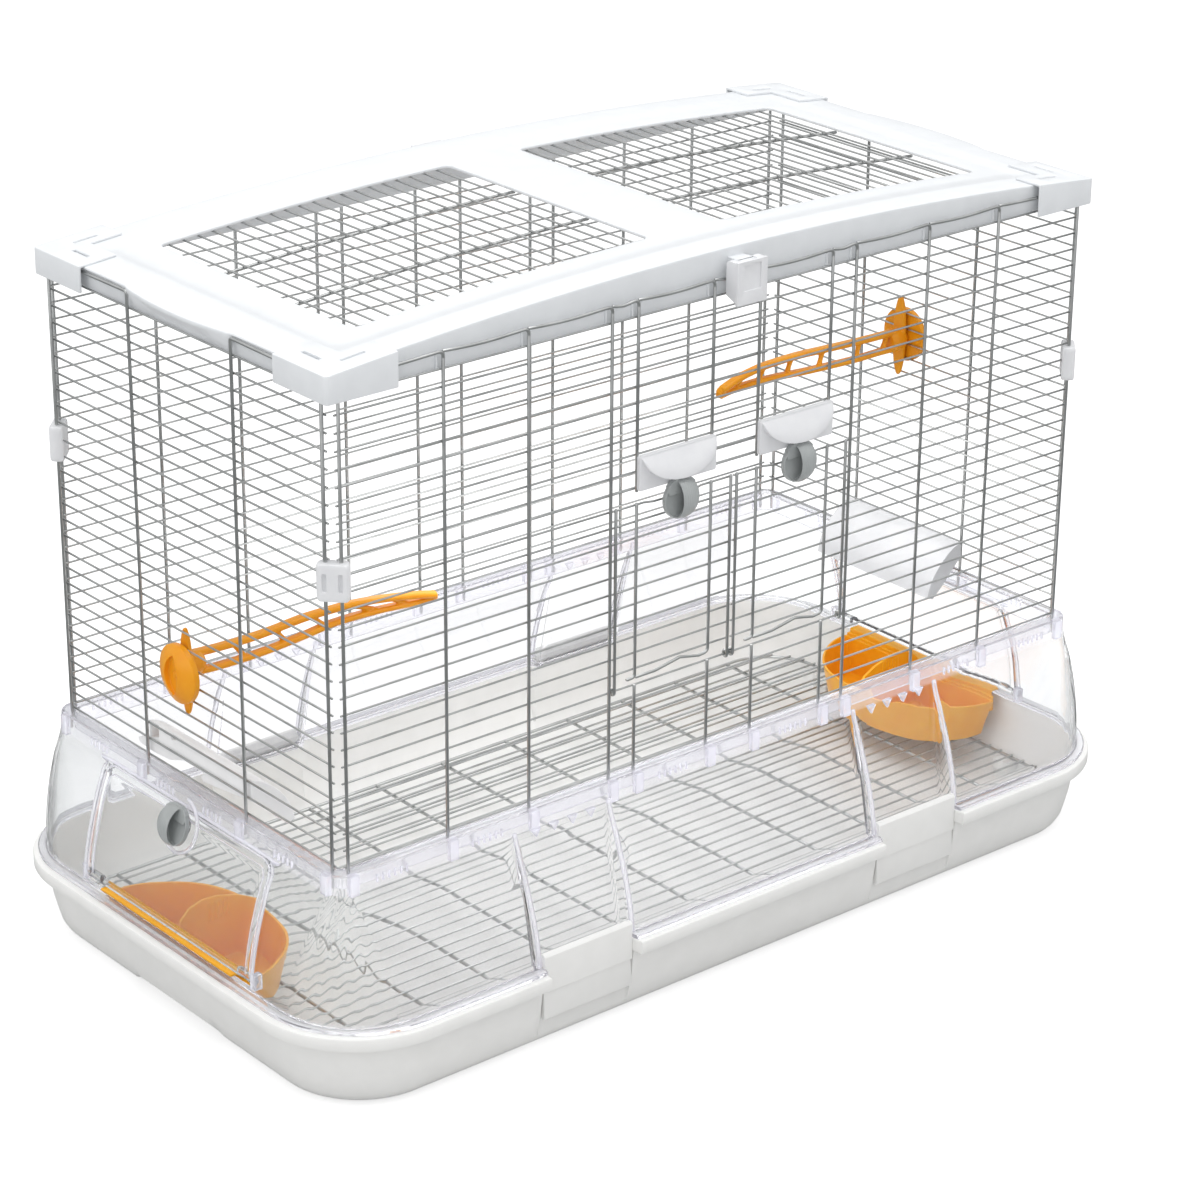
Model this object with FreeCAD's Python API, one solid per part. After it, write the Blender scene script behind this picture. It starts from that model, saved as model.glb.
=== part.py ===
import FreeCAD, Part
import os, math

V = FreeCAD.Vector
os.makedirs("parts", exist_ok=True)

# ------------------------------------------------------------------ sizes, mm
# +X along the long front, -Y the front, +Z up, floor at z = 0
BAR_PITCH = 12.75            # half-inch bar spacing
BAR_TOP = 512.0              # highest bar clear of the roof
BAR_LAST = 26                # index of the lowest bar
R_BAR = 0.8                  # thin horizontal bar
R_POST = 1.25                # thick upright
R_DOOR = 1.2                 # door upright
PANEL_Y = 174.7              # upright plane, front and back
PANEL_X = 357.6              # upright plane, ends
POST_X = (350.0, 263.4, 190.3, 116.2, 92.4, 22.0)
POST_Y = (166.6, 62.4)
SINK = 1.9                   # bars sit this far inside the upright plane
POST_FOOT = 165.0            # uprights end inside the rim sockets
POST_HEAD = 538.5
DOOR_CX = 57.25              # middle of each front door
DOOR_HALF = 54.35            # to the outer door uprights
DOOR_TOP_BAR, DOOR_LOW_BAR = 10, 20

ROOF_RISE = 18.0             # arch of the roof over its half length
ROOF_HALF = 362.0
ROOF_TOP = 558.0
ROOF_R = (ROOF_HALF ** 2 + ROOF_RISE ** 2) / (2 * ROOF_RISE)
ROOF_T = 3.0
ROOF_X, ROOF_Y = 353.8, 170.8
FASCIA_Z = 523.0
WIN_X0, WIN_X1, WIN_Y = 34.0, 295.0, 117.0

RIM_Z0, RIM_Z1 = 163.0, 178.0
BASE_WALL = 2.4
BASE_SECTIONS = ((178.0, 364.0, 181.0, 13.0), (163.0, 365.5, 182.5, 15.0),
                 (140.0, 373.5, 191.5, 28.0), (115.0, 381.0, 200.5, 44.0),
                 (90.0, 386.5, 207.5, 58.0), (65.3, 389.5, 211.5, 68.0))
FLANGE = (397.0, 220.0, 80.0)
BAY_X0, BAY_X1 = 124.0, 208.0

TRAY_H = 65.0
TRAY_WALL = 2.6
TRAY_FLANGE = (402.0, 224.0, 86.0)
TRAY_SECTIONS = ((55.0, 392.0, 214.5, 77.0), (30.0, 388.5, 211.5, 74.0),
                 (10.0, 383.0, 206.5, 68.0), (3.0, 378.0, 201.5, 63.0),
                 (0.0, 371.0, 194.5, 56.0))

GRATE_Z = 23.0
PERCH_Y = 14.0


def bar_z(i):
    return BAR_TOP - BAR_PITCH * i


PERCH_L_Z = (bar_z(19) + bar_z(20)) / 2
PERCH_R_Z = (bar_z(11) + bar_z(12)) / 2


# ------------------------------------------------------------------- helpers
def box(x0, y0, z0, x1, y1, z1):
    return Part.makeBox(x1 - x0, y1 - y0, z1 - z0, V(x0, y0, z0))


def rod(p, q, r):
    p, q = V(*p), V(*q)
    d = q - p
    return Part.makeCylinder(r, d.Length, p, d)


def rr_wire(X, Y, R, z):
    c = math.sqrt(0.5) * R
    e = [Part.makeLine(V(X, -Y + R, z), V(X, Y - R, z)),
         Part.Arc(V(X, Y - R, z), V(X - R + c, Y - R + c, z), V(X - R, Y, z)).toShape(),
         Part.makeLine(V(X - R, Y, z), V(-X + R, Y, z)),
         Part.Arc(V(-X + R, Y, z), V(-X + R - c, Y - R + c, z), V(-X, Y - R, z)).toShape(),
         Part.makeLine(V(-X, Y - R, z), V(-X, -Y + R, z)),
         Part.Arc(V(-X, -Y + R, z), V(-X + R - c, -Y + R - c, z), V(-X + R, -Y, z)).toShape(),
         Part.makeLine(V(-X + R, -Y, z), V(X - R, -Y, z)),
         Part.Arc(V(X - R, -Y, z), V(X - R + c, -Y + R - c, z), V(X, -Y + R, z)).toShape()]
    return Part.Wire(e)


def rr_prism(X, Y, R, z0, z1):
    return Part.Face(rr_wire(X, Y, R, z0)).extrude(V(0, 0, z1 - z0))


def rr_loft(sections, inset=0.0):
    w = [rr_wire(x - inset, y - inset, r - inset, z) for z, x, y, r in sections]
    return Part.makeLoft(w, True, False)


def prism_x(pts, x0, x1):
    w = Part.makePolygon([V(x0, y, z) for y, z in pts] + [V(x0, *pts[0])])
    return Part.Face(w).extrude(V(x1 - x0, 0, 0))


def prism_y(pts, y0, y1):
    w = Part.makePolygon([V(x, y0, z) for x, z in pts] + [V(pts[0][0], y0, pts[0][1])])
    return Part.Face(w).extrude(V(0, y1 - y0, 0))


def bent(points, r, bend):
    pts = [V(*p) for p in points]
    edges, start = [], pts[0]
    for a, b, c in zip(pts[:-2], pts[1:-1], pts[2:]):
        u = (a - b)
        w = (c - b)
        u.normalize()
        w.normalize()
        half = u.getAngle(w) / 2
        k = bend / math.tan(half)
        p, q = b + u * k, b + w * k
        bis = u + w
        bis.normalize()
        m = b + bis * (bend / math.sin(half) - bend)
        if (p - start).Length > 1e-6:
            edges.append(Part.makeLine(start, p))
        edges.append(Part.Arc(p, m, q).toShape())
        start = q
    edges.append(Part.makeLine(start, pts[-1]))
    path = Part.Wire(edges)
    d = pts[1] - pts[0]
    ring = Part.Wire([Part.makeCircle(r, pts[0], d)])
    return path.makePipeShell([ring], True, False)


def eye(x, y, z, major, r):
    return Part.makeTorus(major, r, V(x, y, z), V(1, 0, 0))


def fuse(*shapes):
    s = shapes[0]
    for t in shapes[1:]:
        s = s.fuse(t)
    return s.removeSplitter()


def mirror_x(s):
    return s.mirror(V(0, 0, 0), V(1, 0, 0))


def mirror_y(s):
    return s.mirror(V(0, 0, 0), V(0, 1, 0))


def place(s, origin, u, v, w):
    m = FreeCAD.Matrix(u[0], v[0], w[0], origin[0],
                       u[1], v[1], w[1], origin[1],
                       u[2], v[2], w[2], origin[2],
                       0, 0, 0, 1)
    t = s.copy()
    t.Placement = FreeCAD.Placement(m)
    return t


def save(name, shape):
    if isinstance(shape, list):
        shape = Part.makeCompound(shape)
    shape.exportStep("parts/%s.step" % name)


def arch_z(x, r=ROOF_R):
    return ROOF_TOP - ROOF_R + math.sqrt(r * r - x * x)


def arch_solid(r, y0, y1):
    c = Part.makeCylinder(r, y1 - y0, V(0, y0, ROOF_TOP - ROOF_R), V(0, 1, 0))
    return c.common(box(-420, y0, 500, 420, y1, 600))


# ------------------------------------------------------------- wire panels
def long_panel(s, doors):
    y = s * PANEL_Y
    yb = s * (PANEL_Y - SINK)
    wires = []
    for i, px in enumerate(POST_X):
        for sx in (-1, 1):
            x = sx * px
            if doors and i >= 4:
                wires.append(rod((x, y, POST_FOOT), (x, y, bar_z(21) + 0.3), R_POST))
                wires.append(rod((x, y, bar_z(9) - 1.7), (x, y, POST_HEAD), R_POST))
            else:
                head = POST_HEAD if i else 536.0
                wires.append(rod((x, y, POST_FOOT), (x, y, head), R_POST))
    for i in range(-2, BAR_LAST + 1):
        z = bar_z(i)
        if doors and DOOR_TOP_BAR <= i <= DOOR_LOW_BAR:
            for sx in (-1, 1):
                wires.append(rod((sx * 352.0, yb, z), (sx * 114.7, yb, z), R_BAR))
        else:
            wires.append(rod((-352.0, yb, z), (352.0, yb, z), R_BAR))
    return wires


def end_panel(s):
    x = s * PANEL_X
    xb = s * (PANEL_X - SINK)
    wires = []
    for py in POST_Y:
        for sy in (-1, 1):
            wires.append(rod((x, sy * py, POST_FOOT), (x, sy * py, 526.2), R_POST))
    for i in range(-1, BAR_LAST + 1):
        wires.append(rod((xb, -168.6, bar_z(i)), (xb, 168.6, bar_z(i)), R_BAR))
    return wires


save("front_panel", long_panel(-1, True))
save("back_panel", long_panel(1, False))
save("left_panel", end_panel(-1))
save("right_panel", end_panel(1))


# -------------------------------------------------- snap clips at the corners
CLIP_Z0, CLIP_Z1 = 381.0, 408.0


def corner_clip():
    face = Part.Face(Part.makePolygon([
        V(-343.6, -179.6, CLIP_Z0), V(-361.0, -179.6, CLIP_Z0), V(-362.6, -178.0, CLIP_Z0),
        V(-362.6, -160.2, CLIP_Z0), V(-358.85, -160.2, CLIP_Z0), V(-358.85, -170.0, CLIP_Z0),
        V(-356.9, -170.0, CLIP_Z0), V(-353.0, -174.0, CLIP_Z0), V(-353.0, -175.95, CLIP_Z0),
        V(-343.6, -175.95, CLIP_Z0), V(-343.6, -179.6, CLIP_Z0)]))
    c = face.extrude(V(0, 0, CLIP_Z1 - CLIP_Z0))
    zm = (CLIP_Z0 + CLIP_Z1) / 2
    c = c.cut(box(-352.0, -181, zm - 6, -348.2, -178.0, zm + 6))
    c = c.cut(box(-364, -168.6, zm - 6, -361.2, -164.8, zm + 6))
    return c


clip = corner_clip()
save("corner_clip_front_left", clip)
save("corner_clip_front_right", mirror_x(clip))
save("corner_clip_back_left", mirror_y(clip))
save("corner_clip_back_right", mirror_x(mirror_y(clip)))

# ---------------------------------------------------------------- front doors
HINGE_Z = bar_z(21)
HINGE_Y = -(PANEL_Y - SINK)
EYE_R = 2.26
DOOR_Y = HINGE_Y - EYE_R
KNOB_Z = bar_z(DOOR_TOP_BAR)
CLAMP_Y = -175.8


def front_door(cx):
    wires = []
    top = KNOB_Z + 1.6
    for sx in (-1, 1):
        x = cx + sx * DOOR_HALF
        wires.append(eye(x, HINGE_Y, HINGE_Z, EYE_R, R_DOOR))
        wires.append(rod((x, DOOR_Y, HINGE_Z), (x, DOOR_Y, top), R_DOOR))
    yb = DOOR_Y + SINK
    for i in range(DOOR_TOP_BAR + 1, DOOR_LOW_BAR + 1):
        wires.append(rod((cx - DOOR_HALF - 1.4, yb, bar_z(i)), (cx + DOOR_HALF + 1.4, yb, bar_z(i)), R_BAR))
    # top wire, cranked outward behind the turn latch
    wires.append(bent([(cx - DOOR_HALF - 1.4, yb, KNOB_Z), (cx - 27, yb, KNOB_Z), (cx - 20, CLAMP_Y, KNOB_Z),
                       (cx + 20, CLAMP_Y, KNOB_Z), (cx + 27, yb, KNOB_Z), (cx + DOOR_HALF + 1.4, yb, KNOB_Z)],
                      R_BAR, 3.0))
    # inner uprights; the right one bends into the low spring wire
    xl, xr = cx - 35.2, cx + 35.2
    zb = bar_z(DOOR_LOW_BAR) + 1.2
    wires.append(bent([(xr, DOOR_Y, top), (xr, DOOR_Y, zb - 6.2), (xr - 9, DOOR_Y, zb - 7.0), (cx + 8, DOOR_Y, zb - 3.2),
                       (cx - 16, DOOR_Y, zb - 7.2), (xl + 1.0, DOOR_Y, zb - 7.2)], R_DOOR, 3.0))
    wires.append(bent([(xl, DOOR_Y, top), (xl, DOOR_Y, zb - 7.2), (xl - 7.5, DOOR_Y, zb - 7.2)], R_DOOR, 3.0))
    return wires


save("front_door_left", front_door(-DOOR_CX))
save("front_door_right", front_door(DOOR_CX))


# ---------------------------------------------------- turn latches (U, V, W)
def turn_knob():
    drum = Part.makeCylinder(17.0, 5.5, V(0, 0, 2.0))
    ball = Part.makeSphere(23.02, V(0, 0, -8.52)).common(Part.makeCylinder(17.0, 10, V(0, 0, 7.4)))
    body = drum.fuse(ball)
    scoop = Part.makeCylinder(14.3, 20, V(0, 0, 4.6)).common(box(-30, -30, 0, -0.8, 30, 40))
    body = body.cut(scoop).cut(box(-30, -30, 8.6, -0.8, 30, 40))
    neck = Part.makeCylinder(17.4, 3.0, V(0, 0, 2.0)).common(box(-13.0, 10, 0, 13.0, 30, 10))
    body = body.fuse(neck)
    body = body.cut(Part.makeCylinder(3.2, 8.0, V(0, 0, 1.0)))
    return body.removeSplitter()


def clamp():
    c = Part.makeCylinder(8.0, 5.7, V(0, 0, -4.0)).fuse(Part.makeCylinder(3.0, 8.6, V(0, 0, 0)))
    w0 = -177.6 - CLAMP_Y
    return c.cut(Part.makeCylinder(R_BAR + 0.03, 40, V(-20, 0, w0), V(1, 0, 0))).removeSplitter()


knob = turn_knob()
for name, cx in (("left", -DOOR_CX), ("right", DOOR_CX)):
    fr = ((cx, -177.6, KNOB_Z), (1, 0, 0), (0, 0, 1), (0, -1, 0))
    save("front_door_%s_knob" % name, place(knob, *fr))
    save("front_door_%s_clamp" % name, place(clamp(), *fr))


# --------------------------------------------------------------- strike plates
def strike(cx):
    plate = box(cx - 36.3, -179.2, 396.4, cx + 36.3, -175.95, 423.0)
    plate = plate.makeFillet(2.0, [e for e in plate.Edges if abs(e.Vertexes[0].Point.y - e.Vertexes[1].Point.y) > 1])
    m = FreeCAD.Matrix()
    m.scale(33.5, 9.5, 18.6)
    dome = Part.makeSphere(1.0).transformGeometry(m)
    dome.translate(V(cx, -178.0, 421.4))
    dome = dome.common(box(cx - 40, -200, 380, cx + 40, -178.0, 421.4))
    return plate.fuse(dome).removeSplitter()


save("door_strike_left", strike(-DOOR_CX))
save("door_strike_right", strike(DOOR_CX))

# ----------------------------------------------------------------------- roof
plate = arch_solid(ROOF_R, -ROOF_Y, ROOF_Y).cut(arch_solid(ROOF_R - ROOF_T, -ROOF_Y - 1, ROOF_Y + 1))
plate = plate.common(box(-ROOF_X, -ROOF_Y, 500, ROOF_X, ROOF_Y, 600))
skirt = arch_solid(ROOF_R - 0.5, -ROOF_Y, ROOF_Y).common(box(-ROOF_X, -ROOF_Y, FASCIA_Z, ROOF_X, ROOF_Y, 600))
skirt = skirt.cut(box(-ROOF_X + 2.5, -ROOF_Y + 2.5, 500, ROOF_X - 2.5, ROOF_Y - 2.5, 600))
roof = plate.fuse(skirt)
for sx in (-1, 1):
    xa, xb = sorted((sx * WIN_X0, sx * WIN_X1))
    win = box(xa, -WIN_Y, 500, xb, WIN_Y, 600)
    win = win.makeFillet(5.0, [e for e in win.Edges if abs(e.Vertexes[0].Point.z - e.Vertexes[1].Point.z) > 1])
    roof = roof.cut(win)
    # rounded tongue over the end panel
    tongue = Part.Face(Part.makePolygon([V(sx * 352, -66, 527.6), V(sx * 359, -60, 527.6), V(sx * 363.4, -48, 527.6),
                                         V(sx * 364.4, -30, 527.6), V(sx * 364.4, 30, 527.6), V(sx * 363.4, 48, 527.6),
                                         V(sx * 359, 60, 527.6), V(sx * 352, 66, 527.6), V(sx * 352, -66, 527.6)]))
    roof = roof.fuse(tongue.extrude(V(0, 0, 30)).common(arch_solid(ROOF_R, -70, 70)))
# lugs for the two roof clips
LUG_Y, LUG_Z = 181.5, 547.0
for sy in (-1, 1):
    ya, yb = sorted((sy * 169.5, sy * LUG_Y))
    lug = box(-7, ya, LUG_Z - 4, 7, yb, LUG_Z + 4)
    lug = lug.fuse(Part.makeCylinder(4, 14, V(-7, sy * LUG_Y, LUG_Z), V(1, 0, 0)))
    lug = lug.cut(Part.makeCylinder(1.75, 20, V(-10, sy * LUG_Y, LUG_Z), V(1, 0, 0)))
    roof = roof.fuse(lug)
roof = roof.removeSplitter()
save("roof_frame", roof)


def roof_grille(sx):
    wires = []
    n = 20
    x0, x1 = WIN_X0 + 9.4, WIN_X1 - 9.4
    for k in range(n):
        x = sx * (x0 + (x1 - x0) * k / (n - 1))
        z = arch_z(x, ROOF_R - ROOF_T) - R_BAR - 0.05
        wires.append(rod((x, -WIN_Y - 5, z), (x, WIN_Y + 5, z), R_BAR))
    r = ROOF_R - ROOF_T - 2 * R_BAR - R_POST + 0.1
    for y in (-43.0, 43.0):
        xa, xm, xb = sx * (WIN_X0 - 5), sx * (WIN_X0 + WIN_X1) / 2, sx * (WIN_X1 + 5)
        arc = Part.Wire([Part.Arc(V(xa, y, arch_z(xa, r)), V(xm, y, arch_z(xm, r)), V(xb, y, arch_z(xb, r))).toShape()])
        t = arc.Edges[0].tangentAt(arc.Edges[0].FirstParameter)
        wires.append(arc.makePipeShell([Part.Wire([Part.makeCircle(R_POST, V(xa, y, arch_z(xa, r)), t)])], True, False))
    return wires


save("roof_grille_left", roof_grille(-1))
save("roof_grille_right", roof_grille(1))


def corner_cap():
    ell = Part.Face(Part.makePolygon([
        V(-362, -178.5, 522), V(-303, -178.5, 522), V(-303, -152, 522), V(-330, -152, 522), V(-330, -118, 522),
        V(-362, -118, 522), V(-362, -178.5, 522)])).extrude(V(0, 0, 40))
    ell = ell.makeFillet(3.0, [e for e in ell.Edges if abs(e.Vertexes[0].Point.z - e.Vertexes[1].Point.z) > 1
                               and e.Vertexes[0].Point.x < -361 and e.Vertexes[0].Point.y < -178])
    body = ell.common(arch_solid(ROOF_R + 2.0, -190, 190))
    hollow = arch_solid(ROOF_R, -190, 190).common(box(-359.8, -176.6, 500, -290, -100, 600))
    body = body.cut(hollow)
    for p in ((-338, -163.5, -318, -160.5), (-347.5, -150, -344.5, -130)):
        body = body.cut(box(p[0], p[1], 500, p[2], p[3], 600))
    return body


cap = corner_cap()
save("roof_cap_front_left", cap)
save("roof_cap_front_right", mirror_x(cap))
save("roof_cap_back_left", mirror_y(cap))
save("roof_cap_back_right", mirror_x(mirror_y(cap)))


def roof_clip(s):
    front = box(-14, -190.0, 520, 14, -187.4, 552)
    cheeks = None
    for x in (-14, 8):
        c = prism_x([(-187.6, 521.5), (-177.4, 526), (-177.4, 549.5), (-180.0, 551.5), (-187.6, 551.5)], x, x + 6)
        cheeks = c if cheeks is None else cheeks.fuse(c)
    body = front.fuse(cheeks)
    body = body.fuse(Part.makeCylinder(1.5, 24, V(-12, -LUG_Y, LUG_Z), V(1, 0, 0)))
    body = body.cut(box(-8, -191, 530, 8, -188.8, 549))
    body = body.removeSplitter()
    return body if s < 0 else mirror_y(body)


save("roof_clip_front", roof_clip(-1))
save("roof_clip_back", roof_clip(1))


# ----------------------------------------------------------------- clear base
def bay_cutter(s, grow):
    pts = [(-182.6, 166.0), (-203.5, 60.0), (-240.0, 60.0), (-240.0, 166.0)]
    pts = [(y + grow, z) for y, z in pts[:2]] + pts[2:]
    b = None
    for sx in (-1, 1):
        xa, xb = sorted((sx * BAY_X0, sx * BAY_X1))
        c = prism_x(pts, xa - grow, xb + grow)
        b = c if b is None else b.fuse(c)
    return b if s < 0 else mirror_y(b)


outer = rr_loft(BASE_SECTIONS)
inner_sections = BASE_SECTIONS[1:] + ((55.0, 390.5, 212.5, 70.0),)
inner = rr_loft(inner_sections, BASE_WALL)
flange = rr_prism(FLANGE[0], FLANGE[1], FLANGE[2], 65.3, 68.3)
out2 = outer.fuse(flange)
inn2 = inner
for s in (-1, 1):
    out2 = out2.cut(bay_cutter(s, 0.0))
    inn2 = inn2.cut(bay_cutter(s, BASE_WALL))
base = out2.cut(inn2)
base = base.cut(rr_prism(353.0, 170.0, 6.0, 150, 185))

# end-door hinge ears and openings
HINGE_X, HINGE_ZE = 385.0, 76.0
DOOR_W = 106.2
door_shell = outer.cut(inner)
for sx in (-1, 1):
    xa, xb = sorted((sx * 330.0, sx * 420.0))
    base = base.cut(box(xa, -DOOR_W - 1.2, 69.6, xb, DOOR_W + 1.2, 163.0))
    for sy in (-1, 1):
        ya, yb = sorted((sy * (DOOR_W + 1.2), sy * 113.0))
        ear = box(min(sx * 380.5, sx * 388.0), ya, 69.0, max(sx * 380.5, sx * 388.0), yb, 81.5)
        base = base.fuse(ear)
    base = base.cut(Part.makeCylinder(2.25, 223.4, V(sx * HINGE_X, -111.7, HINGE_ZE), V(0, 1, 0)))
# sockets for the uprights
for px in POST_X:
    for sx in (-1, 1):
        for sy in (-1, 1):
            base = base.cut(rod((sx * px, sy * PANEL_Y, POST_FOOT), (sx * px, sy * PANEL_Y, 180), R_POST + 0.08))
for py in POST_Y:
    for sx in (-1, 1):
        for sy in (-1, 1):
            base = base.cut(rod((sx * PANEL_X, sy * py, POST_FOOT), (sx * PANEL_X, sy * py, 180), R_POST + 0.08))

# ------------------------------------------------------ latches, base to tray
PIN_Y, PIN_Z = 207.2, 72.0
for sy in (-1, 1):
    for sx in (-1, 1):
        xa, xb = sorted((sx * (BAY_X0 - 2.2), sx * (BAY_X1 + 2.2)))
        base = base.cut(Part.makeCylinder(1.75, xb - xa, V(xa, sy * PIN_Y, PIN_Z), V(1, 0, 0)))
base = base.removeSplitter()
save("clear_base", base)


def tray_latch(sx, sy):
    prof = [(-209.4, 78.0), (-212.4, 78.0), (-214.0, 76.2), (-214.4, 48.0), (-212.6, 46.6), (-213.6, 26.6),
            (-212.8, 25.0), (-210.6, 25.0), (-210.0, 46.0), (-209.8, 64.0), (-205.4, 70.0), (-205.4, 74.0), (-207.2, 76.0)]
    cx = (BAY_X0 + BAY_X1) / 2
    half = (BAY_X1 - BAY_X0) / 2 - 1.0
    c = prism_x(prof, cx - half, cx + half)
    c = c.fuse(Part.makeCylinder(1.5, 2 * half + 5.2, V(cx - half - 2.6, -PIN_Y, PIN_Z), V(1, 0, 0))).removeSplitter()
    if sx < 0:
        c = mirror_x(c)
    return mirror_y(c) if sy > 0 else c


for fb, sy in (("front", -1), ("back", 1)):
    for lr, sx in (("left", -1), ("right", 1)):
        save("tray_latch_%s_%s" % (fb, lr), tray_latch(sx, sy))


# ------------------------------------------------------------------ end doors
def end_door():
    p = door_shell.common(box(-420, -DOOR_W, 73.5, -330, DOOR_W, 161.8))
    p = p.fuse(Part.makeCylinder(3.2, 2 * DOOR_W, V(-HINGE_X, -DOOR_W, HINGE_ZE), V(0, 1, 0)))
    p = p.fuse(Part.makeCylinder(2.0, 222.6, V(-HINGE_X, -111.3, HINGE_ZE), V(0, 1, 0)))
    # stiffening ribs down both sides
    for sy in (-1, 1):
        ya, yb = sorted((sy * (DOOR_W - 4.0), sy * DOOR_W))
        rib = rr_loft(BASE_SECTIONS, BASE_WALL - 0.2).cut(rr_loft(BASE_SECTIONS, BASE_WALL + 3.0))
        p = p.fuse(rib.common(box(-420, ya, 78, -330, yb, 161.8)))
    return p


TILT = math.radians(17.0)
END_O = (-373.5, 0.0, 152.6)
END_FR = (END_O, (0, -1, 0), (math.sin(TILT), 0, math.cos(TILT)), (-math.cos(TILT), 0, math.sin(TILT)))
boss = place(Part.makeCylinder(8.0, 9.7, V(0, 0, -8.0)).fuse(Part.makeCylinder(3.0, 8.6, V(0, 0, 0))), *END_FR)
door = end_door().fuse(boss.cut(rr_loft(BASE_SECTIONS, BASE_WALL - 0.2))).removeSplitter()
save("end_door_left", door)
save("end_door_right", mirror_x(door))
eknob = place(knob.mirror(V(0, 0, 0), V(1, 0, 0)), *END_FR)
save("end_door_left_knob", eknob)
save("end_door_right_knob", mirror_x(eknob))


# ------------------------------------------------------------ cups and hoods
CUP_RIM = ((-378.0, 89.0), (-360.0, 87.0), (-341.0, 77.0), (-323.0, 61.0), (-312.0, 42.0), (-307.0, 20.0), (-305.0, 0.0))
CUP_FLOOR = ((-377.0, 78.0), (-360.0, 77.0), (-344.0, 70.0), (-329.0, 57.0), (-320.0, 40.0), (-315.5, 20.0), (-314.0, 0.0))
CUP_Z0, CUP_Z1 = 30.0, 64.0


def feed_cup():
    def outline(half, z, inset):
        p = [V(x, y, 0) for x, y in half]
        p = p + [V(q.x, -q.y, 0) for q in reversed(p[:-1])]
        q = []
        for i, c in enumerate(p):
            t = p[min(i + 1, len(p) - 1)] - p[max(i - 1, 0)]
            n = V(-t.y, t.x, 0)
            n.normalize()
            if n.dot(V(-342, 0, 0) - c) < 0:
                n = n * -1
            d = c + n * inset
            if i in (0, len(p) - 1):
                d = V(c.x + inset, c.y - math.copysign(inset, c.y), 0)
            q.append(V(d.x, d.y, z))
        curve = Part.BSplineCurve()
        curve.interpolate(q)
        return Part.Wire([curve.toShape(), Part.makeLine(q[-1], q[0])])

    def bowl(inset, za, zb):
        k = (zb - CUP_Z0) / (CUP_Z1 - CUP_Z0)
        top = [(a + (c - a) * k, b + (d - b) * k) for (a, b), (c, d) in zip(CUP_FLOOR, CUP_RIM)]
        k = (za - CUP_Z0) / (CUP_Z1 - CUP_Z0)
        low = [(a + (c - a) * k, b + (d - b) * k) for (a, b), (c, d) in zip(CUP_FLOOR, CUP_RIM)]
        return Part.makeLoft([outline(low, za, inset), outline(top, zb, inset)], True, True)

    solid = bowl(0.0, CUP_Z0, CUP_Z1)
    hollow = bowl(2.0, CUP_Z0 + 2.2, CUP_Z1 + 1.0)
    solid = solid.cut(hollow.cut(box(-400, -1.2, 0, -280, 1.2, 120)))
    # arched divider between the two bowls
    arch = prism_y([(-376.5, 58.0), (-376.0, 74.0), (-368.0, 82.0), (-356.0, 85.5), (-342.0, 84.5), (-326.0, 80.0), (-314.0, 74.0),
                    (-307.2, 66.0), (-308.0, 58.0)], -1.2, 1.2)
    # wall toward the end door, with the lip that hangs on the sill under the door
    wall = box(-380.2, -87.0, 54.0, -377.0, 87.0, 67.0)
    lip = box(-380.2, -60.0, 66.0, -378.6, 60.0, 70.8).fuse(box(-388.0, -60.0, 69.7, -378.6, 60.0, 70.8))
    return solid.fuse(arch).fuse(wall).fuse(lip).removeSplitter()


cup = feed_cup()
save("feed_cup_left", cup)
save("feed_cup_right", mirror_x(cup))


def hood():
    curve = [(-353.6, 206.5), (-346.0, 204.0), (-337.0, 198.0), (-328.0, 189.0), (-321.0, 178.0), (-317.5, 166.0)]
    under = [(-319.6, 166.0), (-323.0, 177.2), (-329.6, 187.6), (-338.2, 196.3), (-346.6, 201.9), (-353.6, 204.2)]
    h = prism_y(curve + under, -66, 66)
    cheek = curve + [(-324.0, 163.5), (-334.0, 172.0), (-344.0, 183.0), (-353.6, 192.0)]
    for y in (-66.0, 64.0):
        h = h.fuse(prism_y(cheek, y, y + 2.0))
    for y in (-52.0, 36.0):
        h = h.fuse(box(-354.85, y, 193.0, -351.6, y + 16, 206.0))
    return h.removeSplitter()


hd = hood()
save("cup_hood_left", hd)
save("cup_hood_right", mirror_x(hd))


# -------------------------------------------------------------------- perches
def perch(z, x_tip, rise):
    m = FreeCAD.Matrix()
    m.scale(1, 6.5, 34.0)
    fin = Part.makeCylinder(1.0, 3.4, V(0, 0, 0), V(1, 0, 0)).transformGeometry(m)
    fin.translate(V(-354.85, PERCH_Y, z))
    stud = rod((-352, PERCH_Y, z), (-362, PERCH_Y, z), 3.0)
    # openwork bar: two rails, cross webs and a rounded tip that droops a little
    zr, zt, xm = z + rise, z + rise - 7.0, x_tip - 75.0
    collar = rod((-352, PERCH_Y, zr), (-343, PERCH_Y, zr), 9.0)
    body = fin.fuse(stud).fuse(collar)
    xt = x_tip - 4.8
    for s in (-1, 1):
        body = body.fuse(bent([(-348.0, PERCH_Y, zr + 5.0 * s), (xm, PERCH_Y, zr + 3.9 * s),
                               (xt, PERCH_Y, zt + 2.0 * s)], 2.5, 60.0))
    n = int((x_tip + 350.0) // 32)
    for k in range(1, n):
        x = -350.0 + (x_tip - 22.0 + 350.0) * k / (n - 1)
        zc = zr if x < xm else zr - 7.0 * (x - xm) / (xt - xm)
        body = body.fuse(rod((x, PERCH_Y, zc - 4.0), (x, PERCH_Y, zc + 4.0), 2.1))
    tip = rod((xt, PERCH_Y - 2.7, zt), (xt, PERCH_Y + 2.7, zt), 4.8)
    return body.fuse(tip)


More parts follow.
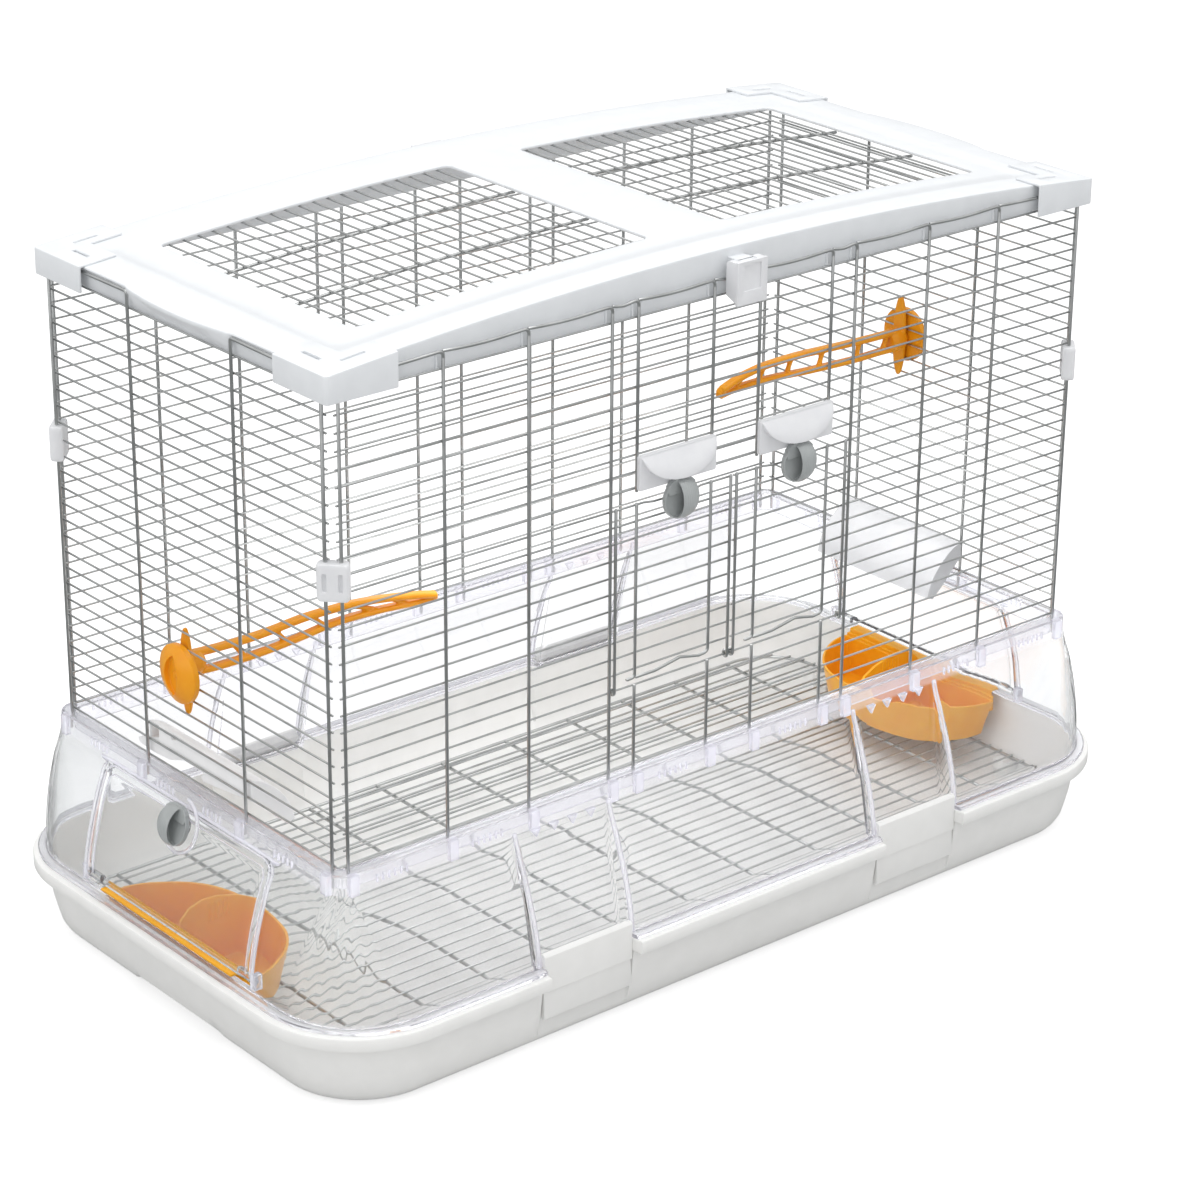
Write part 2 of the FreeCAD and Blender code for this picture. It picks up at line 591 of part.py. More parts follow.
def perch_disc(z):
    d = rod((-361.0, PERCH_Y, z), (-356.5, PERCH_Y, z), 22.5)
    cap_r = (22.5 ** 2 + 7.0 ** 2) / (2 * 7.0)
    ball = Part.makeSphere(cap_r, V(-361.0 + cap_r - 7.0, PERCH_Y, z)).common(rod((-370, PERCH_Y, z), (-360.9, PERCH_Y, z), 22.5))
    d = d.fuse(ball)
    lens = rod((-372, PERCH_Y - 11, z), (-362.6, PERCH_Y - 11, z), 19).common(
        rod((-372, PERCH_Y + 11, z), (-362.6, PERCH_Y + 11, z), 19))
    d = d.cut(lens)
    return d.cut(rod((-362.3, PERCH_Y, z), (-355, PERCH_Y, z), 3.2)).removeSplitter()


save("perch_left", perch(PERCH_L_Z, -126.0, 5.0))
save("perch_left_nut", perch_disc(PERCH_L_Z))
save("perch_right", mirror_x(perch(PERCH_R_Z, -152.0, -2.6)))
save("perch_right_nut", mirror_x(perch_disc(PERCH_R_Z)))

# ------------------------------------------------------------ tray and grate
lower = rr_loft(TRAY_SECTIONS)
hollow = rr_loft(((66.0, 392.5, 215.0, 77.5), (55.0, 392.0, 214.5, 77.0), (30.0, 388.5, 211.5, 74.0),
                  (12.6, 383.5, 207.0, 68.5), (5.6, 378.0, 201.5, 63.0), (2.6, 371.0, 194.5, 56.0)), TRAY_WALL)
lip = rr_prism(TRAY_FLANGE[0], TRAY_FLANGE[1], TRAY_FLANGE[2], 54.5, TRAY_H)
lip = lip.cut(rr_prism(TRAY_FLANGE[0] - 2.6, TRAY_FLANGE[1] - 2.6, TRAY_FLANGE[2] - 2.6, 50, TRAY_H - 2.6))
neck = rr_prism(392.0, 214.5, 77.0, 55.0, TRAY_H)
tray_out = lower.fuse(neck).fuse(lip)


def tray_bay(sx, sy, grow):
    xa, xb = sorted((sx * (BAY_X0 - 0.5), sx * (BAY_X1 + 0.5)))
    b = box(xa - grow, -260, -5, xb + grow, -206.0 + grow, 80)
    return mirror_y(b) if sy > 0 else b


for sx in (-1, 1):
    for sy in (-1, 1):
        tray_out = tray_out.cut(tray_bay(sx, sy, 0.0))
        hollow = hollow.cut(tray_bay(sx, sy, TRAY_WALL))
# raised arch under the middle of each end
for sx in (-1, 1):
    xa, xb = sorted((sx * 352.0, sx * 410.0))
    tray_out = tray_out.cut(prism_x([(-62, -1), (-54, 8), (54, 8), (62, -1)], xa, xb))
    xa, xb = sorted((sx * 349.4, sx * 410.0))
    hollow = hollow.cut(prism_x([(-66.0, 0), (-56, 10.6), (56, 10.6), (66.0, 0)], xa, xb))
tray = tray_out.cut(hollow).removeSplitter()
# ledges that carry the grate
for sx in (-1, 1):
    for y in (-110.0, 0.0, 110.0):
        xa, xb = sorted((sx * 368.0, sx * 388.0))
        blk = box(xa, y - 8, 2.0, xb, y + 8, GRATE_Z - 3.6)
        tray = tray.fuse(blk.common(lower))
save("tray", tray.removeSplitter())

GX, GY, GR = 377.0, 178.0, 50.0
R_GRID, R_FRAME = 0.9, 1.4
grate = []
zx = GRATE_Z + 0.0
zy = GRATE_Z - R_GRID - R_FRAME + 0.15
# edge wire, four sides and four corners
for s in (-1, 1):
    grate.append(rod((-GX + GR, s * GY, zy), (GX - GR, s * GY, zy), R_FRAME))
    grate.append(rod((s * GX, -GY + GR, zy), (s * GX, GY - GR, zy), R_FRAME))
c = math.sqrt(0.5) * GR
for sx in (-1, 1):
    for sy in (-1, 1):
        p, q = V(sx * GX, sy * (GY - GR), zy), V(sx * (GX - GR), sy * GY, zy)
        m = V(sx * (GX - GR + c), sy * (GY - GR + c), zy)
        w = Part.Wire([Part.Arc(p, m, q).toShape()])
        grate.append(w.makePipeShell([Part.Wire([Part.makeCircle(R_FRAME, p, V(0, 1, 0))])], True, False))


def half_len(off, half, other, r):
    if abs(off) <= half - r:
        return other
    return other - r + math.sqrt(max(0.0, r * r - (abs(off) - half + r) ** 2))


for k in range(-13, 14):
    y = k * 12.7
    h = half_len(y, GY, GX, GR) + 0.8
    grate.append(rod((-h, y, zx), (h, y, zx), R_GRID))
for x in (-318.0, -257.0, -196.0, -135.0, -67.5, 0.0, 67.5, 135.0, 196.0, 257.0, 318.0):
    h = half_len(x, GX, GY, GR) - 0.6
    grate.append(rod((x, -h, zy), (x, h, zy), R_FRAME))
save("floor_grate", grate)
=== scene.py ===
import bpy
import bmesh
import math
import numpy as np
from mathutils import Matrix, Vector


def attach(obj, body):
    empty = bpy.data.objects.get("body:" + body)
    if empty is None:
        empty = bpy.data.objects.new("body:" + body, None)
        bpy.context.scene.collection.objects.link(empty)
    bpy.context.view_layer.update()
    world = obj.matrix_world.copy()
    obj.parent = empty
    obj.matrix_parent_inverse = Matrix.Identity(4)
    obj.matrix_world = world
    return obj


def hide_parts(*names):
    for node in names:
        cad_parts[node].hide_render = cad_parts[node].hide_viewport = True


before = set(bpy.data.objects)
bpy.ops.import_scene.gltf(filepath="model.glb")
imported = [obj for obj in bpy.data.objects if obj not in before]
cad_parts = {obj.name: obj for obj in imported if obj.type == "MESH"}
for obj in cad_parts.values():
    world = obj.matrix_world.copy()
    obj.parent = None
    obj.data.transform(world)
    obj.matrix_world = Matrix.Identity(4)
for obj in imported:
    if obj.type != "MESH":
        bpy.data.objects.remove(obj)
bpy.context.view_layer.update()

MM = 0.001
RNG = np.random.RandomState(7)


# ------------------------------------------------------------------ materials
def new_mat(name):
    m = bpy.data.materials.new(name)
    m.use_nodes = True
    nt = m.node_tree
    nt.nodes.clear()
    out = nt.nodes.new("ShaderNodeOutputMaterial")
    return m, nt, out


def link(nt, a, ao, b, bi):
    nt.links.new(a.outputs[ao], b.inputs[bi])


def plastic(name, dark, light, rough, bump=0.02, scale=60.0, sss=0.0, radius=(0.004, 0.002, 0.001), coat=0.0, spec=0.5):
    m, nt, out = new_mat(name)
    b = nt.nodes.new("ShaderNodeBsdfPrincipled")
    co = nt.nodes.new("ShaderNodeTexCoord")
    n1 = nt.nodes.new("ShaderNodeTexNoise")
    n1.inputs["Scale"].default_value = scale
    n1.inputs["Detail"].default_value = 4.0
    ramp = nt.nodes.new("ShaderNodeValToRGB")
    ramp.color_ramp.elements[0].position = 0.35
    ramp.color_ramp.elements[1].position = 0.65
    ramp.color_ramp.elements[0].color = (*dark, 1)
    ramp.color_ramp.elements[1].color = (*light, 1)
    link(nt, co, "Object", n1, "Vector")
    link(nt, n1, "Fac", ramp, "Fac")
    link(nt, ramp, "Color", b, "Base Color")
    b.inputs["Roughness"].default_value = rough
    b.inputs["Specular IOR Level"].default_value = spec
    if coat:
        b.inputs["Coat Weight"].default_value = coat
        b.inputs["Coat Roughness"].default_value = 0.12
    if sss:
        b.inputs["Subsurface Weight"].default_value = sss
        b.inputs["Subsurface Radius"].default_value = radius
        b.inputs["Subsurface Scale"].default_value = 1.0
    n2 = nt.nodes.new("ShaderNodeTexNoise")
    n2.inputs["Scale"].default_value = 900.0
    n2.inputs["Detail"].default_value = 2.0
    bp = nt.nodes.new("ShaderNodeBump")
    bp.inputs["Strength"].default_value = bump
    bp.inputs["Distance"].default_value = 0.0004
    link(nt, co, "Object", n2, "Vector")
    link(nt, n2, "Fac", bp, "Height")
    link(nt, bp, "Normal", b, "Normal")
    link(nt, b, "BSDF", out, "Surface")
    return m


def zinc(name):
    m, nt, out = new_mat(name)
    b = nt.nodes.new("ShaderNodeBsdfPrincipled")
    co = nt.nodes.new("ShaderNodeTexCoord")
    n1 = nt.nodes.new("ShaderNodeTexNoise")
    n1.inputs["Scale"].default_value = 45.0
    n1.inputs["Detail"].default_value = 5.0
    ramp = nt.nodes.new("ShaderNodeValToRGB")
    ramp.color_ramp.elements[0].position = 0.3
    ramp.color_ramp.elements[1].position = 0.7
    ramp.color_ramp.elements[0].color = (0.43, 0.44, 0.437, 1)
    ramp.color_ramp.elements[1].color = (0.60, 0.61, 0.606, 1)
    link(nt, co, "Object", n1, "Vector")
    link(nt, n1, "Fac", ramp, "Fac")
    link(nt, ramp, "Color", b, "Base Color")
    b.inputs["Metallic"].default_value = 1.0
    b.inputs["Roughness"].default_value = 0.33
    n2 = nt.nodes.new("ShaderNodeTexNoise")
    n2.inputs["Scale"].default_value = 700.0
    bp = nt.nodes.new("ShaderNodeBump")
    bp.inputs["Strength"].default_value = 0.05
    bp.inputs["Distance"].default_value = 0.0003
    link(nt, co, "Object", n2, "Vector")
    link(nt, n2, "Fac", bp, "Height")
    link(nt, bp, "Normal", b, "Normal")
    link(nt, b, "BSDF", out, "Surface")
    return m


def clear(name, rough, wall_haze_and_glow, edge_haze_and_glow, wave):
    """Clear moulded plastic: faintly tinted, darkened by painted shade where the wall turns edge-on, milky with a
    painted glow in the thick rim and flange.
    """
    m, nt, out = new_mat(name)
    b = nt.nodes.new("ShaderNodeBsdfPrincipled")
    b.inputs["Roughness"].default_value = rough
    b.inputs["IOR"].default_value = 1.47
    b.inputs["Transmission Weight"].default_value = 1.0
    # painted shade: a faint tint face-on that darkens to grey where the wall turns edge-on
    lw = nt.nodes.new("ShaderNodeLayerWeight")
    lw.inputs["Blend"].default_value = 0.5
    rp = nt.nodes.new("ShaderNodeValToRGB")
    for k, (p, c) in enumerate(((0.0, (0.985, 0.985, 0.995)), (0.34, (0.98, 0.98, 0.99)), (0.60, (0.90, 0.905, 0.92)), (1.0, (0.45, 0.46, 0.48)))):
        el = rp.color_ramp.elements[0] if k == 0 else rp.color_ramp.elements[1] if k == 3 else rp.color_ramp.elements.new(p)
        el.position = p
        el.color = (*c, 1)
    link(nt, lw, "Facing", rp, "Fac")
    co = nt.nodes.new("ShaderNodeTexCoord")
    # painted shade: the two ends of the base darken more than the long walls where they turn edge-on, the left end more
    # than the right
    sp = nt.nodes.new("ShaderNodeSeparateXYZ")
    link(nt, co, "Object", sp, "Vector")
    end_side_shade_shift = nt.nodes.new("ShaderNodeMapRange")
    end_side_shade_shift.inputs["From Min"].default_value = -0.05
    end_side_shade_shift.inputs["From Max"].default_value = 0.05
    end_side_shade_shift.inputs["To Min"].default_value = 0.0
    end_side_shade_shift.inputs["To Max"].default_value = 0.18
    link(nt, sp, "X", end_side_shade_shift, "Value")
    su = nt.nodes.new("ShaderNodeMath")
    su.operation = "SUBTRACT"
    nt.links.new(lw.outputs["Facing"], su.inputs[0])
    nt.links.new(end_side_shade_shift.outputs["Result"], su.inputs[1])
    end_shade_ramp = nt.nodes.new("ShaderNodeValToRGB")
    for k, (p, c) in enumerate(((0.30, 0.985), (0.38, 0.93), (0.46, 0.68), (0.56, 0.38), (0.80, 0.08))):
        el = end_shade_ramp.color_ramp.elements[0] if k == 0 else end_shade_ramp.color_ramp.elements[1] if k == 4 else end_shade_ramp.color_ramp.elements.new(p)
        el.position = p
        el.color = (c * 0.985, c, c, 1)
    nt.links.new(su.outputs["Value"], end_shade_ramp.inputs["Fac"])
    ab = nt.nodes.new("ShaderNodeMath")
    ab.operation = "ABSOLUTE"
    nt.links.new(sp.outputs["X"], ab.inputs[0])
    end_shade_mask = nt.nodes.new("ShaderNodeMapRange")
    end_shade_mask.inputs["From Min"].default_value = 0.325
    end_shade_mask.inputs["From Max"].default_value = 0.37
    nt.links.new(ab.outputs["Value"], end_shade_mask.inputs["Value"])
    mc = nt.nodes.new("ShaderNodeMixRGB")
    nt.links.new(end_shade_mask.outputs["Result"], mc.inputs["Fac"])
    nt.links.new(rp.outputs["Color"], mc.inputs["Color1"])
    nt.links.new(end_shade_ramp.outputs["Color"], mc.inputs["Color2"])
    link(nt, mc, "Color", b, "Base Color")
    n2 = nt.nodes.new("ShaderNodeTexNoise")
    n2.inputs["Scale"].default_value = 22.0
    n2.inputs["Detail"].default_value = 1.0
    bp = nt.nodes.new("ShaderNodeBump")
    bp.inputs["Strength"].default_value = wave
    bp.inputs["Distance"].default_value = 0.002
    link(nt, co, "Object", n2, "Vector")
    link(nt, n2, "Fac", bp, "Height")
    link(nt, bp, "Normal", b, "Normal")
    # milky part, with a painted glow added on top
    df = nt.nodes.new("ShaderNodeBsdfDiffuse")
    df.inputs["Color"].default_value = (0.90, 0.89, 0.955, 1)
    tl = nt.nodes.new("ShaderNodeBsdfTranslucent")
    tl.inputs["Color"].default_value = (0.93, 0.92, 0.98, 1)
    hd = nt.nodes.new("ShaderNodeMixShader")
    hd.inputs[0].default_value = 0.5
    nt.links.new(df.outputs["BSDF"], hd.inputs[1])
    nt.links.new(tl.outputs["BSDF"], hd.inputs[2])
    painted_glow = nt.nodes.new("ShaderNodeEmission")
    painted_glow.inputs["Color"].default_value = (0.93, 0.91, 1.0, 1)
    painted_glow.inputs["Strength"].default_value = 0.20
    haze_and_glow = nt.nodes.new("ShaderNodeAddShader")
    nt.links.new(hd.outputs["Shader"], haze_and_glow.inputs[0])
    nt.links.new(painted_glow.outputs["Emission"], haze_and_glow.inputs[1])
    band = []
    for a, z in ((0.1618, 0.1636), (0.0702, 0.0688)):
        mr = nt.nodes.new("ShaderNodeMapRange")
        mr.inputs["From Min"].default_value = a
        mr.inputs["From Max"].default_value = z
        mr.inputs["To Min"].default_value = 0.0
        mr.inputs["To Max"].default_value = edge_haze_and_glow - wall_haze_and_glow
        link(nt, sp, "Z", mr, "Value")
        band.append(mr)
    ad = nt.nodes.new("ShaderNodeMath")
    ad.operation = "ADD"
    nt.links.new(band[0].outputs["Result"], ad.inputs[0])
    nt.links.new(band[1].outputs["Result"], ad.inputs[1])
    ad2 = nt.nodes.new("ShaderNodeMath")
    ad2.operation = "ADD"
    ad2.inputs[1].default_value = wall_haze_and_glow
    nt.links.new(ad.outputs["Value"], ad2.inputs[0])
    hm = nt.nodes.new("ShaderNodeMixShader")
    nt.links.new(ad2.outputs["Value"], hm.inputs[0])
    nt.links.new(b.outputs["BSDF"], hm.inputs[1])
    nt.links.new(haze_and_glow.outputs["Shader"], hm.inputs[2])
    lp = nt.nodes.new("ShaderNodeLightPath")
    tr = nt.nodes.new("ShaderNodeBsdfTransparent")
    tr.inputs["Color"].default_value = (0.97, 0.97, 0.98, 1)
    mix = nt.nodes.new("ShaderNodeMixShader")
    link(nt, lp, "Is Shadow Ray", mix, 0)
    nt.links.new(hm.outputs["Shader"], mix.inputs[1])
    nt.links.new(tr.outputs["BSDF"], mix.inputs[2])
    link(nt, mix, "Shader", out, "Surface")
    return m


ZINC = zinc("satin_zinc")
ROOF = plastic("cool_white", (0.755, 0.775, 0.795), (0.785, 0.805, 0.825), 0.34)
WHITE = plastic("clip_white", (0.76, 0.765, 0.785), (0.80, 0.805, 0.82), 0.3)
TRAY = plastic("warm_white", (0.86, 0.858, 0.84), (0.885, 0.882, 0.865), 0.36)
ORANGE = plastic("amber", (0.84, 0.315, 0.006), (0.88, 0.36, 0.012), 0.30, sss=0.12, radius=(0.005, 0.002, 0.0003), spec=0.35)
CUP = plastic("cup_amber", (0.92, 0.40, 0.012), (0.945, 0.445, 0.02), 0.28, sss=0.2, radius=(0.006, 0.0025, 0.0004), spec=0.4)
GREY = plastic("knob_grey", (0.36, 0.38, 0.38), (0.40, 0.42, 0.42), 0.20, bump=0.01)
# the two hoods are lit and shaded copies of one white: the right hood is painted darker (painted shade), the left
# painted lighter (painted light)
PAINTED_SHADE_HOOD = plastic("hood_painted_shade_white", (0.60, 0.605, 0.62), (0.64, 0.645, 0.66), 0.32)
HOOD = plastic("hood_painted_light_white", (0.90, 0.90, 0.905), (0.93, 0.93, 0.935), 0.32, sss=0.25, radius=(0.004, 0.004, 0.004))
# both clear materials add a painted glow to their milky part; the edge material is mostly milky, so it glows throughout
CLEAR = clear("clear_plastic", 0.02, 0.015, 0.13, 0.12)
EDGE = clear("clear_edges", 0.05, 0.26, 0.32, 0.05)


# --------------------------------------------------------------- mesh builder
class Mesh:
    """Collects closed shells in millimetres and turns them into one object in metres."""

    def __init__(self):
        self.v, self.f = [], []

    def add(self, verts, faces):
        n = len(self.v)
        self.v.extend([tuple(map(float, p)) for p in verts])
        self.f.extend([tuple(int(i) + n for i in f) for f in faces])
        return self

    def box(self, x0, y0, z0, x1, y1, z1):
        x0, x1 = sorted((x0, x1))
        y0, y1 = sorted((y0, y1))
        z0, z1 = sorted((z0, z1))
        v = [(x0, y0, z0), (x1, y0, z0), (x1, y1, z0), (x0, y1, z0), (x0, y0, z1), (x1, y0, z1), (x1, y1, z1), (x0, y1, z1)]
        f = [(0, 3, 2, 1), (4, 5, 6, 7), (0, 1, 5, 4), (1, 2, 6, 5), (2, 3, 7, 6), (3, 0, 4, 7)]
        return self.add(v, f)

    def tube(self, path, r, sides=10, closed=False):
        p = np.array(path, float)
        keep = [0] + [i for i in range(1, len(p)) if np.linalg.norm(p[i] - p[i - 1]) > 1e-6]
        p = p[keep]
        n = len(p)
        rr = np.full(n, r, float) if np.isscalar(r) else np.array(r, float)[keep]
        if closed:
            t = np.roll(p, -1, 0) - np.roll(p, 1, 0)
        else:
            t = np.gradient(p, axis=0)
        t /= np.linalg.norm(t, axis=1)[:, None]
        a = np.array([0, 0, 1.0]) if abs(t[0][2]) < 0.9 else np.array([1.0, 0, 0])
        u = np.cross(t[0], a)
        u /= np.linalg.norm(u)
        rings = []
        for i in range(n):
            u = u - t[i] * np.dot(u, t[i])
            u /= np.linalg.norm(u)
            w = np.cross(t[i], u)
            ang = np.linspace(0, 2 * math.pi, sides, endpoint=False)
            rings.append((p[i], t[i], u.copy(), w, rr[i], ang))
        verts, faces = [], []

        def ring(c, u, w, rad, ang):
            k = len(verts)
            for q in ang:
                verts.append(c + rad * (math.cos(q) * u + math.sin(q) * w))
            return k

        ks = []
        if not closed:
            c, tt, u0, w0, r0, ang = rings[0]
            ks.append(ring(c - tt * r0 * 0.45, u0, w0, r0 * 0.72, ang))
        for c, tt, u0, w0, r0, ang in rings:
            ks.append(ring(c, u0, w0, r0, ang))
        if not closed:
            c, tt, u0, w0, r0, ang = rings[-1]
            ks.append(ring(c + tt * r0 * 0.45, u0, w0, r0 * 0.72, ang))
        m = len(ks)
        for i in range(m if closed else m - 1):
            a0, b0 = ks[i], ks[(i + 1) % m]
            for j in range(sides):
                j2 = (j + 1) % sides
                faces.append((a0 + j, a0 + j2, b0 + j2, b0 + j))
        if not closed:
            faces.append(tuple(ks[0] + j for j in reversed(range(sides))))
            faces.append(tuple(ks[-1] + j for j in range(sides)))
        return self.add(verts, faces)

    def rod(self, p, q, r, sides=32):
        """Plain round bar that ends exactly at p and q, with a small chamfer."""
        p, q = np.array(p, float), np.array(q, float)
        t = (q - p) / np.linalg.norm(q - p)
        a = np.array([0, 0, 1.0]) if abs(t[2]) < 0.9 else np.array([1.0, 0, 0])
        u = np.cross(t, a)
        u /= np.linalg.norm(u)
        w = np.cross(t, u)
        ch = min(0.4, r * 0.15)
        loops = [[c + rad * (math.cos(k) * u + math.sin(k) * w) for k in np.linspace(0, 2 * math.pi, sides, endpoint=False)]
                 for c, rad in ((p, r - ch), (p + t * ch, r), (q - t * ch, r), (q, r - ch))]
        return self.loft(loops, cap0=True, cap1=True)

    def loft(self, loops, ring=False, cap0=False, cap1=False):
        n = len(loops[0])
        verts = [p for lp in loops for p in lp]
        m = len(loops)
        faces = []
        for i in range(m if ring else m - 1):
            a, b = i * n, ((i + 1) % m) * n
            for j in range(n):
                k = (j + 1) % n
                faces.append((a + j, a + k, b + k, b + j))
        if cap0:
            faces.append(tuple(reversed(range(n))))
        if cap1:
            faces.append(tuple(range((m - 1) * n, m * n)))
        return self.add(verts, faces)

    def prism(self, pts, axis, a, b):
        """Closed prism of a plane outline; axis 'x': pts are (y, z), 'y': (x, z), 'z': (x, y)."""
        def at(p, t):
            return {"x": (t, p[0], p[1]), "y": (p[0], t, p[1]), "z": (p[0], p[1], t)}[axis]
        return self.loft([[at(p, a) for p in pts], [at(p, b) for p in pts]], cap0=True, cap1=True)

    def ball(self, c, r, nu=16, nv=10):
        r = np.array([r, r, r], float) if np.isscalar(r) else np.array(r, float)
        loops = []
        for i in range(1, nv):
            th = math.pi * i / nv
            loops.append([(c[0] + r[0] * math.sin(th) * math.cos(q), c[1] + r[1] * math.sin(th) * math.sin(q),
                           c[2] - r[2] * math.cos(th)) for q in np.linspace(0, 2 * math.pi, nu, endpoint=False)])
        verts = [p for lp in loops for p in lp]
        n = nu
        faces = []
        for i in range(len(loops) - 1):
            for j in range(n):
                k = (j + 1) % n
                faces.append((i * n + j, i * n + k, (i + 1) * n + k, (i + 1) * n + j))
        lo, hi = len(verts), len(verts) + 1
        verts += [(c[0], c[1], c[2] - r[2]), (c[0], c[1], c[2] + r[2])]
        last = (len(loops) - 1) * n
        for j in range(n):
            k = (j + 1) % n
            faces.append((lo, k, j))
            faces.append((hi, last + j, last + k))
        return self.add(verts, faces)

    def cad(self, node):
        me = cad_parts[node].data
        bm = bmesh.new()
        bm.from_mesh(me)
        bmesh.ops.remove_doubles(bm, verts=bm.verts, dist=2e-6)
        bm.verts.index_update()
        self.add([(v.co.x / MM, v.co.y / MM, v.co.z / MM) for v in bm.verts], [[v.index for v in f.verts] for f in bm.faces])
        bm.free()
        return self

    def mirror(self, axis):
        k = "xyz".index(axis)
        self.v = [tuple(-c if i == k else c for i, c in enumerate(p)) for p in self.v]
        self.f = [tuple(reversed(f)) for f in self.f]
        return self

    def data(self, name):
        me = bpy.data.meshes.new(name)
        me.from_pydata([(x * MM, y * MM, z * MM) for x, y, z in self.v], [], self.f)
        me.update()
        bm = bmesh.new()
        bm.from_mesh(me)
        bmesh.ops.recalc_face_normals(bm, faces=bm.faces)
        bm.to_mesh(me)
        bm.free()
        return me


def finish_mesh(me, angle):
    for p in me.polygons:
        p.use_smooth = True
    me.set_sharp_from_angle(angle=math.radians(angle))


def evaluated(ob):
    dg = bpy.context.evaluated_depsgraph_get()
    me = bpy.data.meshes.new_from_object(ob.evaluated_get(dg))
    return me


def scratch(me):
    ob = bpy.data.objects.new("scratch", me)
    bpy.context.scene.collection.objects.link(ob)
    bpy.context.view_layer.update()
    return ob


def drop(ob):
    me = ob.data
    bpy.data.objects.remove(ob)
    if me.users == 0:
        bpy.data.meshes.remove(me)


def melt(mesh, voxel=0.45, smooth=4, keep=0.35, cutters=()):
    """One rounded moulded skin out of overlapping shells: voxel remesh, relax, thin out."""
    ob = scratch(mesh.data("melt"))
    for c in cutters:
        cu = scratch(c.data("cut"))
        mod = ob.modifiers.new("cut", "BOOLEAN")
        mod.object = cu
        mod.operation = "DIFFERENCE"
        mod.solver = "EXACT"
        mod.use_self = True
        me = evaluated(ob)
        drop(cu)
        drop(ob)
        ob = scratch(me)
    m = ob.modifiers.new("v", "REMESH")
    m.mode = "VOXEL"
    m.voxel_size = voxel * MM
    m.adaptivity = 0.0
    s = ob.modifiers.new("s", "SMOOTH")
    s.factor = 0.5
    s.iterations = smooth
    if keep < 1:
        d = ob.modifiers.new("d", "DECIMATE")
        d.ratio = keep
    me = evaluated(ob)
    drop(ob)
    return me


def rounded(mesh, width=0.6, seg=3, angle=35, dissolve=0.8):
    """A CAD-like shell with its edges rounded."""
    me = mesh.data("r")
    bm = bmesh.new()
    bm.from_mesh(me)
    bmesh.ops.remove_doubles(bm, verts=bm.verts, dist=2e-6)
    if dissolve:
        bmesh.ops.dissolve_limit(bm, angle_limit=math.radians(dissolve), verts=bm.verts[:], edges=bm.edges[:])
    bm.to_mesh(me)
    bm.free()
    ob = scratch(me)
    b = ob.modifiers.new("b", "BEVEL")
    b.width = width * MM
    b.segments = seg
    b.limit_method = "ANGLE"
    b.angle_limit = math.radians(angle)
    b.use_clamp_overlap = True
    b.miter_outer = "MITER_ARC"
    out = evaluated(ob)
    drop(ob)
    return out


SLOT = {}


def piece(name, me, body, mat, nodes, angle=32):
    finish_mesh(me, angle)
    me.materials.clear()
    me.materials.append(mat)
    me.name = name
    ob = bpy.data.objects.new(name, me)
    bpy.context.scene.collection.objects.link(ob)
    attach(ob, body)
    if nodes:
        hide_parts(*nodes)
    return ob


def fillet(points, radius, n=6):
    """Polyline with its corners rounded."""
    p = [np.array(q, float) for q in points]
    out = [p[0]]
    for a, b, c in zip(p[:-2], p[1:-1], p[2:]):
        u, w = a - b, c - b
        lu, lw = np.linalg.norm(u), np.linalg.norm(w)
        u, w = u / lu, w / lw
        half = math.acos(max(-1, min(1, float(np.dot(u, w))))) / 2
        if half > math.pi / 2 - 1e-3:
            out.append(b)
            continue
        k = min(radius / math.tan(half), 0.48 * lu, 0.48 * lw)
        r = k * math.tan(half)
        bis = (u + w) / np.linalg.norm(u + w)
        cen = b + bis * (r / math.sin(half))
        s, e = b + u * k - cen, b + w * k - cen
        ang = math.acos(max(-1, min(1, float(np.dot(s, e)) / (r * r))))
        for i in range(n + 1):
            t = i / n
            q = (math.sin((1 - t) * ang) * s + math.sin(t * ang) * e) / math.sin(ang)
            out.append(cen + q)
    out.append(p[-1])
    return np.array(out)


def smooth_path(pts, n=60):
    """Catmull-Rom curve through the points."""
    p = np.array(pts, float)
    p = np.vstack([2 * p[0] - p[1], p, 2 * p[-1] - p[-2]])
    out = []
    seg = len(p) - 3
    per = max(2, n // seg)
    for i in range(seg):
        a, b, c, d = p[i:i + 4]
        for t in np.linspace(0, 1, per, endpoint=False):
            out.append(0.5 * (2 * b + (c - a) * t + (2 * a - 5 * b + 4 * c - d) * t * t + (3 * b - a - 3 * c + d) * t ** 3))
    out.append(p[-2])
    return np.array(out)


# ------------------------------------------------------- sizes shared with CAD
PITCH, BAR_TOP, BAR_LAST = 12.75, 512.0, 26
R_BAR, R_POST, R_DOOR = 0.8, 1.25, 1.2
PANEL_Y, PANEL_X, SINK = 174.7, 357.6, 1.9
POST_X = (350.0, 263.4, 190.3, 116.2, 92.4, 22.0)
POST_Y = (166.6, 62.4)
DOOR_CX, DOOR_HALF = 57.25, 54.35
ROOF_TOP, ROOF_RISE, ROOF_HALF = 558.0, 18.0, 362.0
ROOF_R = (ROOF_HALF ** 2 + ROOF_RISE ** 2) / (2 * ROOF_RISE)
SECT = np.array([(178.0, 364.0, 181.0, 13.0), (163.0, 365.5, 182.5, 15.0), (140.0, 373.5, 191.5, 28.0),
                 (115.0, 381.0, 200.5, 44.0), (90.0, 386.5, 207.5, 58.0), (65.3, 389.5, 211.5, 68.0)])


def bar_z(i):
    return BAR_TOP - PITCH * i


def arch_z(x, r=ROOF_R):
    return ROOF_TOP - ROOF_R + math.sqrt(r * r - x * x)


